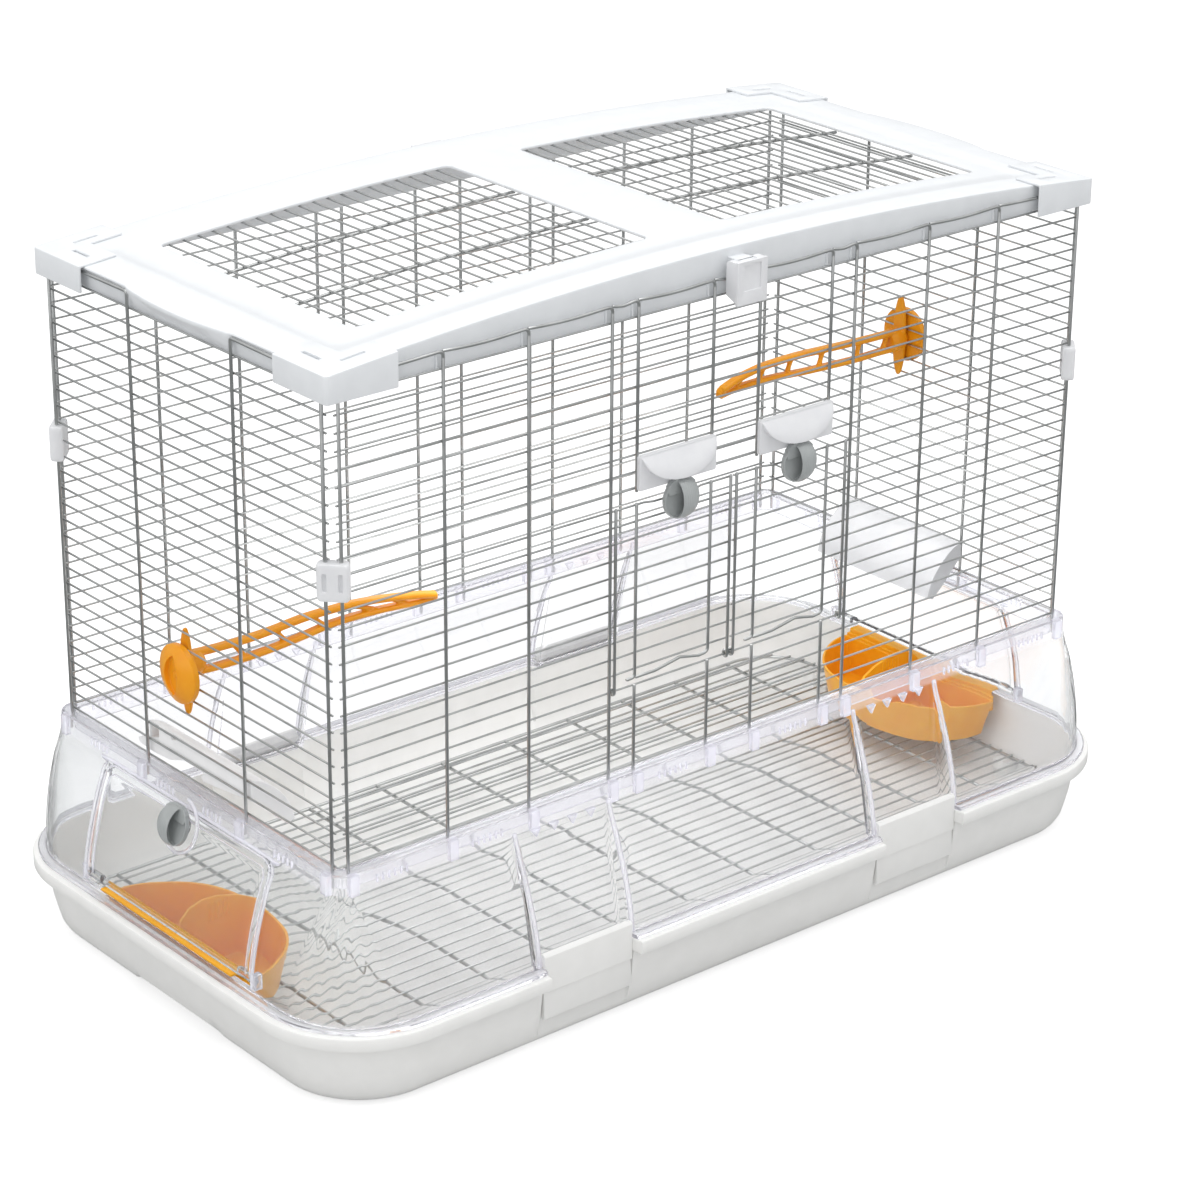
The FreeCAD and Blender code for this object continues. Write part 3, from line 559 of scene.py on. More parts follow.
def section(z):
    """Smooth outer outline of the clear base at height z: half length, half width, corner radius."""
    zs = SECT[::-1, 0]
    out = []
    for k in (1, 2, 3):
        ys = SECT[::-1, k]
        m = np.gradient(ys, zs)
        i = int(np.clip(np.searchsorted(zs, z) - 1, 0, len(zs) - 2))
        h = zs[i + 1] - zs[i]
        t = min(1.0, max(0.0, (z - zs[i]) / h))
        out.append((2 * t ** 3 - 3 * t ** 2 + 1) * ys[i] + (t ** 3 - 2 * t ** 2 + t) * h * m[i]
                   + (-2 * t ** 3 + 3 * t ** 2) * ys[i + 1] + (t ** 3 - t ** 2) * h * m[i + 1])
    return out


def wob(amount):
    return float(RNG.uniform(-amount, amount))


# ----------------------------------------------------------------- wire panels
def straight(m, p, q, r, sides=10, bow=0.25):
    """A wire that is very nearly straight."""
    p, q = np.array(p, float), np.array(q, float)
    d = q - p
    side = np.array([0, 0, 1.0]) if abs(d[2]) < 0.5 * np.linalg.norm(d) else np.array([1.0, 0, 0])
    b = wob(bow)
    ts = np.linspace(0, 1, 7)
    m.tube([p + d * t + side * b * math.sin(math.pi * t) for t in ts], r, sides)


def long_panel(s, doors):
    m = Mesh()
    y, yb = s * PANEL_Y, s * (PANEL_Y - SINK)
    xs = sorted([v for px in POST_X for v in (-px, px)])
    for k, x in enumerate(xs):
        split = doors and abs(x) < 100
        foot = 395.6 if split else 165.0
        if split:
            straight(m, (x, y, 165.0), (x, y, bar_z(21) + 0.2), R_POST, 12, 0.05)
        nxt = xs[k - 1] if k else x - 3.0
        if abs(x) > 340:
            if x < 0:
                m.tube([(x, y, foot), (x, y, 300), (x, y, 534.5)], R_POST, 12)
                continue
        low = 1.4
        leg = [(x - 4.2 - (x - 4.2 - nxt) * t, y, 537.9 - low * math.sin(math.pi * t)) for t in np.linspace(0.15, 1, 8)]
        path = fillet([(x, y, foot), (x, y, 537.9), (x - 8.0, y, 537.9 - 0.3)], 3.6, 6)
        m.tube(list(path[:-1]) + leg, 1.2, 12)
        if not split:
            m.tube([(x, y, foot), (x, y, (foot + 530) / 2), (x, y, 533.0)], R_POST, 12)
        else:
            m.tube([(x, y, foot), (x, y, 460), (x, y, 533.0)], R_POST, 12)
    for i in range(-1, BAR_LAST + 1):
        z = bar_z(i)
        if doors and 10 <= i <= 20:
            for sx in (-1, 1):
                straight(m, (sx * 352.0, yb, z), (sx * 114.7, yb, z), R_BAR, 8, 0.3)
        else:
            straight(m, (-352.0, yb, z), (352.0, yb, z), R_BAR, 8, 0.3)
    return m.data("panel")


def end_panel(s):
    m = Mesh()
    x, xb = s * PANEL_X, s * (PANEL_X - SINK)
    for sy in (-1, 1):
        m.tube([(x, sy * 166.6, 165), (x, sy * 166.6, 350), (x, sy * 166.6, 526.2)], R_POST, 12)
        path = fillet([(x, sy * 63.4, 165), (x, sy * 63.4, 537.2), (x, sy * 160.0, 536.4)], 1.9, 6)
        path[:, 1] = np.where(path[:, 2] < 520, sy * 62.6, path[:, 1])
        m.tube(path, R_POST, 12)
    for i in range(-1, BAR_LAST + 1):
        straight(m, (xb, -168.6, bar_z(i)), (xb, 168.6, bar_z(i)), R_BAR, 8, 0.3)
    return m.data("endpanel")


for nm, me in (("front_panel", long_panel(-1, True)), ("back_panel", long_panel(1, False)),
               ("left_panel", end_panel(-1)), ("right_panel", end_panel(1))):
    piece("wires_" + nm, me, "cage", ZINC, [nm], 40)

# ----------------------------------------------------------------- front doors
HINGE_Z, HINGE_Y, EYE_R = bar_z(21), -(PANEL_Y - SINK), 2.26
DOOR_Y = HINGE_Y - EYE_R
KNOB_Z = bar_z(10)


def front_door(cx):
    m = Mesh()
    top = KNOB_Z + 1.6
    for sx in (-1, 1):
        x = cx + sx * DOOR_HALF
        path = [(x, DOOR_Y, top), (x, DOOR_Y, (top + HINGE_Z) / 2), (x, DOOR_Y, HINGE_Z + 4)]
        for a in np.linspace(180, 180 + 285, 20):
            q = math.radians(a)
            path.append((x + sx * 1.0 * (a - 180) / 285, HINGE_Y + EYE_R * math.cos(q), HINGE_Z + EYE_R * math.sin(q)))
        m.tube(path, R_DOOR, 12)
    yb = DOOR_Y + SINK
    for i in range(11, 21):
        straight(m, (cx - DOOR_HALF - 1.4, yb, bar_z(i)), (cx + DOOR_HALF + 1.4, yb, bar_z(i)), R_BAR, 8, 0.25)
    m.tube(fillet([(cx - DOOR_HALF - 1.4, yb, KNOB_Z), (cx - 27, yb, KNOB_Z), (cx - 20, -175.8, KNOB_Z),
                   (cx + 20, -175.8, KNOB_Z), (cx + 27, yb, KNOB_Z), (cx + DOOR_HALF + 1.4, yb, KNOB_Z)], 3.0, 5), R_BAR, 10)
    xl, xr = cx - 35.2, cx + 35.2
    zb = bar_z(20) + 1.2
    m.tube(fillet([(xr, DOOR_Y, top), (xr, DOOR_Y, zb - 6.2), (xr - 9, DOOR_Y, zb - 7.0), (cx + 8, DOOR_Y, zb - 3.2),
                   (cx - 16, DOOR_Y, zb - 7.2), (xl + 1.0, DOOR_Y, zb - 7.2)], 3.6, 6), R_DOOR, 12)
    m.tube(fillet([(xl, DOOR_Y, top), (xl, DOOR_Y, zb - 7.2), (xl - 7.5, DOOR_Y, zb - 7.2)], 3.2, 6), R_DOOR, 12)
    return m.data("door")


for sd, cx in (("left", -DOOR_CX), ("right", DOOR_CX)):
    nm = "front_door_" + sd
    piece("wires_" + nm, front_door(cx), nm + "_body", ZINC, [nm], 40)
    cl = Mesh()
    for w0, w1, rad in ((-4.0, 1.7, 7.8), (1.4, 2.1, 2.9)):
        cl.rod((cx, -177.6 - w0, KNOB_Z), (cx, -177.6 - w1, KNOB_Z), rad)
    piece("clamp_" + sd, cl.data("clamp"), nm + "_body", GREY, [nm + "_clamp"], 40)


# ---------------------------------------------------------------- turn latches
def knob_mesh(node, o, u, v, w):
    """Turn latch in its own axes: disc, ribbed dome hollowed into a finger scoop on one side, neck."""
    o, u, v, w = (np.array(k, float) for k in (o, u, v, w))
    R, H, U0 = 15.7, 11.0, -5.0

    def at(a, b, c):
        return o + u * a + v * b + w * c
    m = Mesh()
    m.loft([[at(R * g * math.cos(q), R * g * math.sin(q), c) for q in np.linspace(0, 2 * math.pi, 64, endpoint=False)]
            for c, g in ((2.25, 0.97), (2.6, 1.0), (4.6, 1.0))], cap0=True, cap1=True)
    for c in (4.9, 5.5):
        m.tube([at((R - 0.7) * math.cos(q), (R - 0.7) * math.sin(q), c) for q in np.linspace(math.radians(106), math.radians(254), 40)], 0.7, 8)

    def arch(a, k):
        """Section of the dome across u = a, scaled by k for the hollow."""
        g = math.sqrt(max(0.0, 1 - (a / R) ** 2)) if k is None else k
        lp = [at(a, R * g * math.cos(q), 4.0 + H * g * math.sin(q)) for q in np.linspace(0, math.pi, 33)]
        return lp + [at(a, R * g * b, 4.0) for b in np.linspace(-0.9, 0.9, 9)]
    loops = [arch(a, None) for a in (15.6, 15.2, 14.5, 13.5, 12.0, 10.0, 8.0, 6.0, 4.0, 2.0, 0.0, -2.0, -3.6, -4.6)]
    g0 = math.sqrt(1 - (U0 / R) ** 2)
    loops += [arch(U0, g0 - 0.015), arch(U0, g0 - 0.065)]
    for ph in np.linspace(8, 84, 10):
        q = math.radians(ph)
        loops.append(arch(U0 + 12.0 * math.sin(q), (g0 - 0.08) * math.cos(q)))
    m.loft(loops, cap0=True, cap1=True)
    for a in np.arange(-2.2, 13.0, 1.9):
        g = math.sqrt(1 - (a / R) ** 2)
        m.tube([at(a, R * g * math.cos(q), 3.92 + H * g * math.sin(q)) for q in np.linspace(math.radians(18), math.radians(162), 21)], 0.34, 6)
    m.loft([[at(a, b, c) for a, b in ((-12.4, 4.0), (12.4, 4.0), (12.4, 11.1), (9.4, 13.8), (4.8, 16.0), (-4.8, 16.0), (-9.4, 13.8), (-12.4, 11.1))]
            for c in (2.3, 6.4)], cap0=True, cap1=True)
    return melt(m, 0.32, 3, 0.4)


TILT = math.radians(17.0)
for sd, sx in (("left", -1), ("right", 1)):
    cx = sx * DOOR_CX
    piece("knob_front_" + sd, knob_mesh("front_door_%s_knob" % sd, (cx, -177.6, KNOB_Z), (1, 0, 0), (0, 0, 1), (0, -1, 0)),
          "front_knob_" + sd, GREY, ["front_door_%s_knob" % sd], 50)
    o = (sx * 373.5, 0, 152.6)
    u, v, w = (0, 1, 0), (-sx * math.sin(TILT), 0, math.cos(TILT)), (sx * math.cos(TILT), 0, math.sin(TILT))
    piece("knob_end_" + sd, knob_mesh("end_door_%s_knob" % sd, o, u, v, w), "end_knob_" + sd, GREY,
          ["end_door_%s_knob" % sd], 50)


# --------------------------------------------------------------- strike plates
def strike(cx):
    m = Mesh()
    pts = []
    for (x, z, a0) in ((cx + 34.3, 421.0, 0), (cx - 34.3, 421.0, 90), (cx - 34.3, 398.4, 180), (cx + 34.3, 398.4, 270)):
        for a in np.linspace(a0, a0 + 90, 6):
            pts.append((x + 2.0 * math.cos(math.radians(a)), z + 2.0 * math.sin(math.radians(a))))
    m.prism(pts, "y", -179.2, -175.95)
    # half-moon awning: rolls out from the top edge and ends in a crisp lower edge
    loops = []
    for a in np.linspace(math.radians(3), math.radians(177), 44):
        s = math.sin(a)
        x, zl, o = cx + 34.6 * math.cos(a), 421.6 - 20.2 * s, 9.8 * s ** 0.7
        lp = [(x, -178.2, 421.6)]
        for t in np.linspace(0.0, 1.0, 12):
            lp.append((x, -178.9 - o * (1 - (1 - t) ** 2.3), 421.6 - 20.2 * s * t))
        lp += [(x, -178.7 - o * 0.75, zl + 0.9 * s), (x, -178.2, zl + 1.5 * s)]
        loops.append(lp)
    m.loft(loops, cap0=True, cap1=True)
    return melt(m, 0.36, 2, 0.4)


for sd, cx in (("left", -DOOR_CX), ("right", DOOR_CX)):
    piece("strike_" + sd, strike(cx), "cage", WHITE, ["door_strike_" + sd], 50)

# ---------------------------------------------------------------- corner clips
def corner_clip():
    m = Mesh()
    a, b = np.array([-350.0, -174.7]), np.array([-357.6, -166.6])
    d = (b - a) / np.linalg.norm(b - a)
    n = np.array([d[1], -d[0]])
    out = []
    r = 5.2
    for t in np.linspace(-90, 90, 11):
        q = math.radians(t)
        out.append(b + d * (3.4 + 2.6 * math.cos(q)) + n * (r * math.sin(q)))
    for t in np.linspace(90, 270, 11):
        q = math.radians(t)
        out.append(a - d * 3.4 + d * 2.6 * math.cos(q) + n * (r * math.sin(q)))
    cen = (a + b) / 2

    def lp(z, k):
        return [(cen[0] + (p[0] - cen[0]) * k, cen[1] + (p[1] - cen[1]) * k, z) for p in out]
    m.loft([lp(381.0, 0.9), lp(382.2, 0.97), lp(384, 1.0), lp(405, 1.0), lp(407.2, 0.96), lp(408.0, 0.88)], cap0=True, cap1=True)
    c1, c2 = Mesh(), Mesh()
    face = cen - n * 0
    for c, s in ((c1, -1), (c2, 1)):
        base = cen + d * s * 5.6
        pts = [base - d * 1.5 - n * 9, base + d * 1.5 - n * 9, base + d * 1.5 - n * 3.1, base - d * 1.5 - n * 3.1]
        pts2 = [base - d * 1.5 + n * 9, base + d * 1.5 + n * 9, base + d * 1.5 + n * 3.1, base - d * 1.5 + n * 3.1]
        pp = pts if (pts[0] @ np.array([1, 1])) < (pts2[0] @ np.array([1, 1])) else pts2
        c.prism([tuple(p) for p in pp], "z", 388.0, 401.0)
    return melt(m, 0.4, 3, 0.4, cutters=(c1, c2))


CLIP = corner_clip()
for fb, sy in (("front", 1), ("back", -1)):
    for lr, sx in (("left", 1), ("right", -1)):
        me = CLIP.copy()
        me.transform(Matrix.Diagonal((sx, sy, 1, 1)))
        if sx * sy < 0:
            me.flip_normals()
        piece("clip_%s_%s" % (fb, lr), me, "cage", WHITE, ["corner_clip_%s_%s" % (fb, lr)], 50)


# ------------------------------------------------------------------------ roof
def roof_frame():
    m = Mesh()
    xs = [353.8, 345.0, 336.0, 326.9, 326.0, 312.0, 295.0, 290.0, 262.0, 234.0, 206.0, 178.0, 150.0, 122.0, 94.0, 66.0, 39.0, 34.0, 17.0]
    xs = [-v for v in xs] + [0.0] + xs[::-1]
    ys = [170.8, 160.0, 150.0, 143.9, 143.0, 130.0, 117.0, 112.0, 96.0, 80.0, 66.0, 61.0, 55.0, 48.0, 40.0, 32.0, 24.0, 16.0, 8.0]
    ys = [-v for v in ys] + [0.0] + ys[::-1]
    nx, ny = len(xs), len(ys)

    def hole(i, j):
        xm, ym = (xs[i] + xs[i + 1]) / 2, (ys[j] + ys[j + 1]) / 2
        if not (34 < abs(xm) < 295 and abs(ym) < 117):
            return False
        corner = (abs(xm) > 290 or abs(xm) < 39) and abs(ym) > 112
        return not corner

    def moved(x, y):
        """Inner vertex of each window corner, pulled into the corner to round it."""
        if abs(abs(y) - 112.0) < 1e-6:
            sy = math.copysign(1, y)
            if abs(abs(x) - 290.0) < 1e-6:
                return math.copysign(293.54, x), sy * 115.54
            if abs(abs(x) - 39.0) < 1e-6:
                return math.copysign(35.46, x), sy * 115.54
        return x, y

    def bulge(x, y):
        if abs(abs(x) - 353.8) > 1e-6:
            return 0.0
        if abs(y) < 63:
            return 5.0 + 5.6 * (1 - (y / 62.0) ** 2)
        return 3.2 if abs(y) < 150 else 0.0

    top, bot = {}, {}
    verts, faces = [], []

    def put(p):
        verts.append(p)
        return len(verts) - 1

    for i, x in enumerate(xs):
        for j, y in enumerate(ys):
            used = any(0 <= a < nx - 1 and 0 <= b < ny - 1 and not hole(a, b) for a in (i - 1, i) for b in (j - 1, j))
            if not used:
                continue
            mx, my = moved(x, y)
            b = bulge(x, y)
            step = 0.7 if abs(x) < 326.5 and abs(y) < 143.5 else 0.0
            xx = mx + math.copysign(b, x)
            top[i, j] = put((xx, my, arch_z(min(abs(xx), 353.8)) - step - (0.02 * b)))
            bx = math.copysign(351.3, x) if abs(x) > 353 else mx
            by = math.copysign(168.3, y) if abs(y) > 170 else my
            bot[i, j] = put((bx, by, arch_z(bx) - 3.0 - step * 0.5))
    for i in range(nx - 1):
        for j in range(ny - 1):
            if hole(i, j):
                continue
            q = [(i, j), (i + 1, j), (i + 1, j + 1), (i, j + 1)]
            dart = [k for k, (a, b) in enumerate(q) if moved(xs[a], ys[b]) != (xs[a], ys[b])]
            xm, ym = (xs[i] + xs[i + 1]) / 2, (ys[j] + ys[j + 1]) / 2
            incorner = 34 < abs(xm) < 295 and abs(ym) < 117
            for grid, flip in ((top, False), (bot, True)):
                ids = [grid[k] for k in q]
                if dart and incorner:
                    k = dart[0]
                    fs = [(ids[k], ids[(k + 1) % 4], ids[(k + 2) % 4]), (ids[k], ids[(k + 2) % 4], ids[(k + 3) % 4])]
                else:
                    fs = [tuple(ids)]
                for f in fs:
                    faces.append(tuple(reversed(f)) if flip else f)
            for (a, b), (oi, oj) in (((0, 1), (0, -1)), ((1, 2), (1, 0)), ((2, 3), (0, 1)), ((3, 0), (-1, 0))):
                ni, nj = i + oi, j + oj
                if 0 <= ni < nx - 1 and 0 <= nj < ny - 1 and hole(ni, nj):
                    p, r = q[a], q[b]
                    if incorner and dart:
                        pass
                    faces.append((top[r], top[p], bot[p], bot[r]))
    # rim of the plate: visor edge, fascia outside, fascia inside
    per = [(i, 0) for i in range(nx)] + [(nx - 1, j) for j in range(1, ny)] + [(i, ny - 1) for i in range(nx - 2, -1, -1)] \
        + [(0, j) for j in range(ny - 2, 0, -1)]
    cols = []
    for i, j in per:
        x, y = xs[i], ys[j]
        b = bulge(x, y)
        zt = verts[top[i, j]][2]
        ox = x + math.copysign(b, x)
        tongue = b > 4.0
        l1 = put((ox, y, zt - (3.0 if tongue else 2.0 if b else 3.2)))
        l2 = put((x + math.copysign(0.4 if tongue else 0.0, x), y, 528.5 if tongue else zt - (3.4 if b else 5.2)))
        l3 = put((x, y, 523.0))
        ix = math.copysign(351.3, x) if abs(x) > 353 else x
        iy = math.copysign(168.3, y) if abs(y) > 170 else y
        l4 = put((ix, iy, 523.0))
        cols.append((top[i, j], l1, l2, l3, l4, bot[i, j]))
    n = len(cols)
    for k in range(n):
        a, b = cols[k], cols[(k + 1) % n]
        for t in range(5):
            faces.append((b[t], a[t], a[t + 1], b[t + 1]))
    m.add(verts, faces)
    body = rounded(m, 1.1, 3, 40, 0)
    # lugs for the clips and rib pairs on the fascia
    e = Mesh()
    for sy in (-1, 1):
        e.box(-7, sy * 169.5, 543, 7, sy * 181.5, 551)
        e.tube([(-7, sy * 181.5, 547), (7, sy * 181.5, 547)], 4.0, 16)
        for px in POST_X[1:]:
            for sx in (-1, 1):
                for off in (-3.6, 3.6):
                    x = sx * px + off
                    e.box(x - 0.6, sy * 170.0, 525.0, x + 0.6, sy * 172.6, 535.5)
    extra = rounded(e, 0.3, 2)
    bm = bmesh.new()
    bm.from_mesh(body)
    bm.from_mesh(extra)
    out = bpy.data.meshes.new("roof")
    bm.to_mesh(out)
    bm.free()
    return out


piece("roof_plate", roof_frame(), "roof", ROOF, ["roof_frame"], 40)


def roof_grille(sx):
    m = Mesh()
    for k in range(20):
        x = sx * (43.4 + (285.6 - 43.4) * k / 19)
        z = arch_z(x, ROOF_R - 3.0) - R_BAR - 0.05
        straight(m, (x, -121.5, z), (x, 121.5, z), R_BAR, 8, 0.2)
    r = ROOF_R - 3.0 - 2 * R_BAR - R_POST + 0.1
    for y in (-43.0, 43.0):
        xs = np.linspace(sx * 29.0, sx * 300.0, 24)
        m.tube([(x, y, arch_z(x, r)) for x in xs], R_POST, 12)
    return m.data("grille")


for sd, sx in (("left", -1), ("right", 1)):
    piece("wires_roof_" + sd, roof_grille(sx), "roof", ZINC, ["roof_grille_" + sd], 40)

for fb in ("front", "back"):
    for lr in ("left", "right"):
        nd = "roof_cap_%s_%s" % (fb, lr)
        piece("cap_%s_%s" % (fb, lr), rounded(Mesh().cad(nd), 1.0, 3, 35, 0.5), "roof", ROOF, [nd], 35)
    nd = "roof_clip_" + fb
    piece("lever_" + fb, rounded(Mesh().cad(nd), 0.9, 3, 35, 0.5), nd + "_body", WHITE, [nd], 35)


# ------------------------------------------------------------------ clear base
XS = sorted(set([v for a in (0, 40, 80, 100, 112, 118, 121.5, 123.0, 124.2, 125.4, 127.0, 130.0, 145, 166, 187, 202, 205, 206.6,
                             207.8, 209.0, 210.5, 214, 222, 240, 270, 300) for v in (-a, a)]))
YS = sorted(set([v for a in (0, 20, 40, 60, 80, 97.4, 102, 107.4, 112, 120, 130) for v in (-a, a)]))
NC = 44


def outline(X, Y, R, xs=XS, ys=YS):
    """Rounded rectangle with the same stations at every level, from front left round to the left end."""
    pts = [(x, -Y) for x in xs]

    def arc(cx, cy, a0):
        for a in np.linspace(a0, a0 + 90, NC):
            q = math.radians(a)
            pts.append((cx + R * math.cos(q), cy + R * math.sin(q)))
    arc(X - R, -Y + R, -90)
    pts.extend((X, y) for y in ys)
    arc(X - R, Y - R, 0)
    pts.extend((x, Y) for x in reversed(xs))
    arc(-X + R, Y - R, 90)
    pts.extend((-X, y) for y in reversed(ys))
    arc(-X + R, -Y + R, 180)
    return pts


def step01(t):
    t = min(1.0, max(0.0, t))
    return t * t * (3 - 2 * t)


def bay_w(x, grow=0.0):
    a = abs(x)
    return step01((a - (122.6 - grow)) / 3.4) * (1 - step01((a - (206.2 + grow)) / 3.4))


def bay_plane(z):
    return 182.6 + (166.0 - z) * (203.5 - 182.6) / 106.0


def bay(loop, z, inset):
    out = []
    for x, y in loop:
        if abs(x) < 230 and abs(y) > 150:
            lim = bay_plane(min(z, 166.0)) - inset
            if abs(y) > lim:
                w = bay_w(x, inset)
                y = math.copysign(abs(y) + (lim - abs(y)) * w, y)
        out.append((x, y, z))
    return out


def clear_base():
    m = Mesh()
    zk = [175.6, 169.0, 163.0, 158.5, 154.0, 150, 145, 140, 134, 128, 122, 116, 110, 104, 98, 92, 86, 80, 75.5, 69.5]
    ring, tag = [], []

    def lev(z, X, Y, R, inset, t):
        ring.append(bay(outline(X, Y, R), z, inset))
        tag.append(t)
    X, Y, R = section(178.0)
    lev(178.0, X - 0.9, Y - 0.9, R - 0.9, 0.0, "t")
    lev(177.1, X, Y, R, 0.0, "t")
    for k, z in enumerate(zk):
        X, Y, R = section(z)
        lev(z, X, Y, R, 0.0, ("o", k))
    X, Y, R = section(69.3)
    lev(69.0, X + 0.3, Y + 0.3, R, -0.2, "f")
    lev(68.3, X + 1.6, Y + 1.6, R + 1.4, -0.6, "f")
    lev(68.3, 396.2, 219.2, 79.2, -0.9, "f")
    lev(67.5, 397.0, 220.0, 80.0, -1.2, "f")
    lev(66.1, 397.0, 220.0, 80.0, -1.2, "f")
    lev(65.3, 396.2, 219.2, 79.2, -0.9, "f")
    X, Y, R = section(65.3)
    lev(65.3, X - 2.4, Y - 2.4, R - 2.4, 2.4, "f")
    for k in range(len(zk) - 1, -1, -1):
        X, Y, R = section(zk[k])
        lev(zk[k], X - 2.4, Y - 2.4, R - 2.4, 2.4, ("i", k))
    for z, X, Y, R in ((175.6, 355.4, 172.4, 8.4), (163.6, 355.4, 172.4, 8.4), (163.0, 354.8, 171.8, 7.8), (163.0, 353.6, 170.6, 6.6),
                       (163.6, 353.0, 170.0, 6.0), (177.2, 353.0, 170.0, 6.0), (178.0, 353.8, 170.8, 6.8)):
        lev(z, X, Y, R, -60.0, "u")
    n = len(ring[0])
    # moulding ripples on the inner skin of the four corners, strongest near the rim
    corners = []
    for c0 in (len(XS), len(XS) + NC + len(YS), 2 * len(XS) + 2 * NC + len(YS), 2 * len(XS) + 3 * NC + 2 * len(YS)):
        corners.extend((c0 + j, j / (NC - 1.0)) for j in range(NC))
    for i, t in enumerate(tag):
        if isinstance(t, tuple) and t[0] == "i" and 74.0 < zk[t[1]] < 160.0:
            z = zk[t[1]]
            X, Y, R = section(z)
            amp = 0.16 + 0.30 * step01((z - 84.0) / 60.0)
            for st, q in corners:
                x, y, zz = ring[i][st]
                dx, dy = abs(x) - (X - R), abs(y) - (Y - R)
                ln = math.hypot(dx, dy)
                fade = math.sin(math.pi * q) ** 0.5 if 0.0 < q < 1.0 else 0.0
                k = amp * fade * math.sin(2 * math.pi * q * (R * 1.57 / 23.0) + 1.3 * math.sin(z / 9.0) + z / 15.0)
                ring[i][st] = (x + math.copysign(dx / ln * k, x), y + math.copysign(dy / ln * k, y), zz)
    # stations that lie along the two ends
    right0 = len(XS) + NC
    left0 = len(XS) + NC + len(YS) + NC + len(XS) + NC
    end_st = {}
    for j, y in enumerate(YS):
        end_st[right0 + j] = y
    for j, y in enumerate(reversed(YS)):
        end_st[left0 + j] = y
    lo = {t[1]: i for i, t in enumerate(tag) if isinstance(t, tuple) and t[0] == "o"}
    li = {t[1]: i for i, t in enumerate(tag) if isinstance(t, tuple) and t[0] == "i"}
    k0, k1 = zk.index(163.0), zk.index(69.5)
    # rounded upper corners of the two end openings
    kc = zk.index(154.0)
    for st, y in end_st.items():
        if abs(abs(y) - 97.4) < 1e-6:
            for lv in (lo[kc], li[kc]):
                x, yy, z = ring[lv][st]
                ref = section(160.2)[0] - (2.4 if lv == li[kc] else 0.0)
                ring[lv][st] = (math.copysign(ref, x), math.copysign(104.5, yy), 160.2)

    def opened(k, s):
        if not k0 <= k < k1 or s not in end_st or (s + 1) not in end_st:
            return False
        a, b = end_st[s], end_st[s + 1]
        if max(abs(a), abs(b)) > 107.5:
            return False
        if min(abs(a), abs(b)) > 97.0 and k < kc:
            return False
        return True

    faces = []
    L = len(ring)
    for i in range(L):
        i2 = (i + 1) % L
        for s in range(n):
            s2 = (s + 1) % n
            t, t2 = tag[i], tag[i2]
            if isinstance(t, tuple) and isinstance(t2, tuple):
                if t[0] == "o" and opened(t[1], s):
                    continue
                if t[0] == "i" and opened(t2[1], s):
                    continue
            faces.append((i * n + s, i * n + s2, i2 * n + s2, i2 * n + s))
    for k in range(len(zk) - 1):
        for s in end_st:
            if opened(k, s):
                for (ka, sa, kb, sb), (nk, ns) in (((k, s, k, s + 1), (k - 1, s)), ((k + 1, s + 1, k + 1, s), (k + 1, s)),
                                                   ((k, s + 1, k + 1, s + 1), (k, s + 1)), ((k + 1, s, k, s), (k, s - 1))):
                    if not opened(nk, ns):
                        faces.append((lo[ka] * n + sa, lo[kb] * n + sb, li[kb] * n + sb, li[ka] * n + sa))
    m.add([p for lp in ring for p in lp], faces)
    # the odd corner cells stay as quads, they are nearly flat
    e = Mesh()
    # socket blocks round the feet of the uprights
    for px in POST_X:
        for sx in (-1, 1):
            for sy in (-1, 1):
                x = sx * px
                e.box(x - 3.8, sy * 177.6, 161.0, x + 3.8, sy * 182.9, 176.6)
    for py in POST_Y:
        for sx in (-1, 1):
            for sy in (-1, 1):
                y = sy * py
                e.box(sx * 360.6, y - 3.8, 161.0, sx * 366.1, y + 3.8, 176.6)
    # ears that carry the end-door pegs
    for sx in (-1, 1):
        for sy in (-1, 1):
            e.box(sx * 380.8, sy * 107.6, 69.2, sx * 388.6, sy * 113.0, 81.5)
    # groups of small ribs and the teeth over each bay
    for sy in (-1, 1):
        for x0 in (-318, -234, -60, 60, 234, 318):
            for k in range(6):
                x = x0 + (k - 2.5) * 5.2
                e.box(x - 0.7, sy * 180.6, 166.2, x + 0.7, sy * 182.9, 172.4)
        for sx in (-1, 1):
            for k in range(4):
                x = sx * 166 + (k - 1.5) * 17.0
                e.prism([(x - 4.2, 164.0), (x + 4.2, 164.0), (x, 157.0)], "y", sy * 181.6, sy * 185.4)
    for sx in (-1, 1):
        for y0 in (-118, -30, 30, 118):
            for k in range(5):
                y = y0 + (k - 2) * 5.2
                e.box(sx * 363.6, y - 0.7, 166.2, sx * 366.0, y + 0.7, 172.4)
    extra = rounded(e, 0.5, 2)
    # rounded beads down the bay edges and round the end openings, in the milky edge material with its painted glow
    g = Mesh()
    for sy in (-1, 1):
        for sx in (-1, 1):
            for xe in (122.4, 209.6):
                path = []
                for z in np.linspace(164, 69.5, 28):
                    path.append((sx * xe, sy * (section(z)[1] + 0.1), z))
                g.tube(path, 2.0, 12)
    for sx in (-1, 1):
        path = []
        for z in np.linspace(71.0, 155.0, 20):
            path.append((sx * (section(z)[0] + 0.15), -108.8, z))
        path += [(sx * (section(161.4)[0] + 0.15), -105.6, 161.2), (sx * (section(164.2)[0] + 0.15), -97.0, 164.0)]
        path = path + [(p[0], -p[1], p[2]) for p in reversed(path)]
        g.tube(smooth_path(path, 120), 1.4, 10)
    bm = bmesh.new()
    bm.from_mesh(extra)
    bm.from_mesh(g.data("beads"))
    out = bpy.data.meshes.new("beads")
    bm.to_mesh(out)
    bm.free()
    return m.data("shell"), out


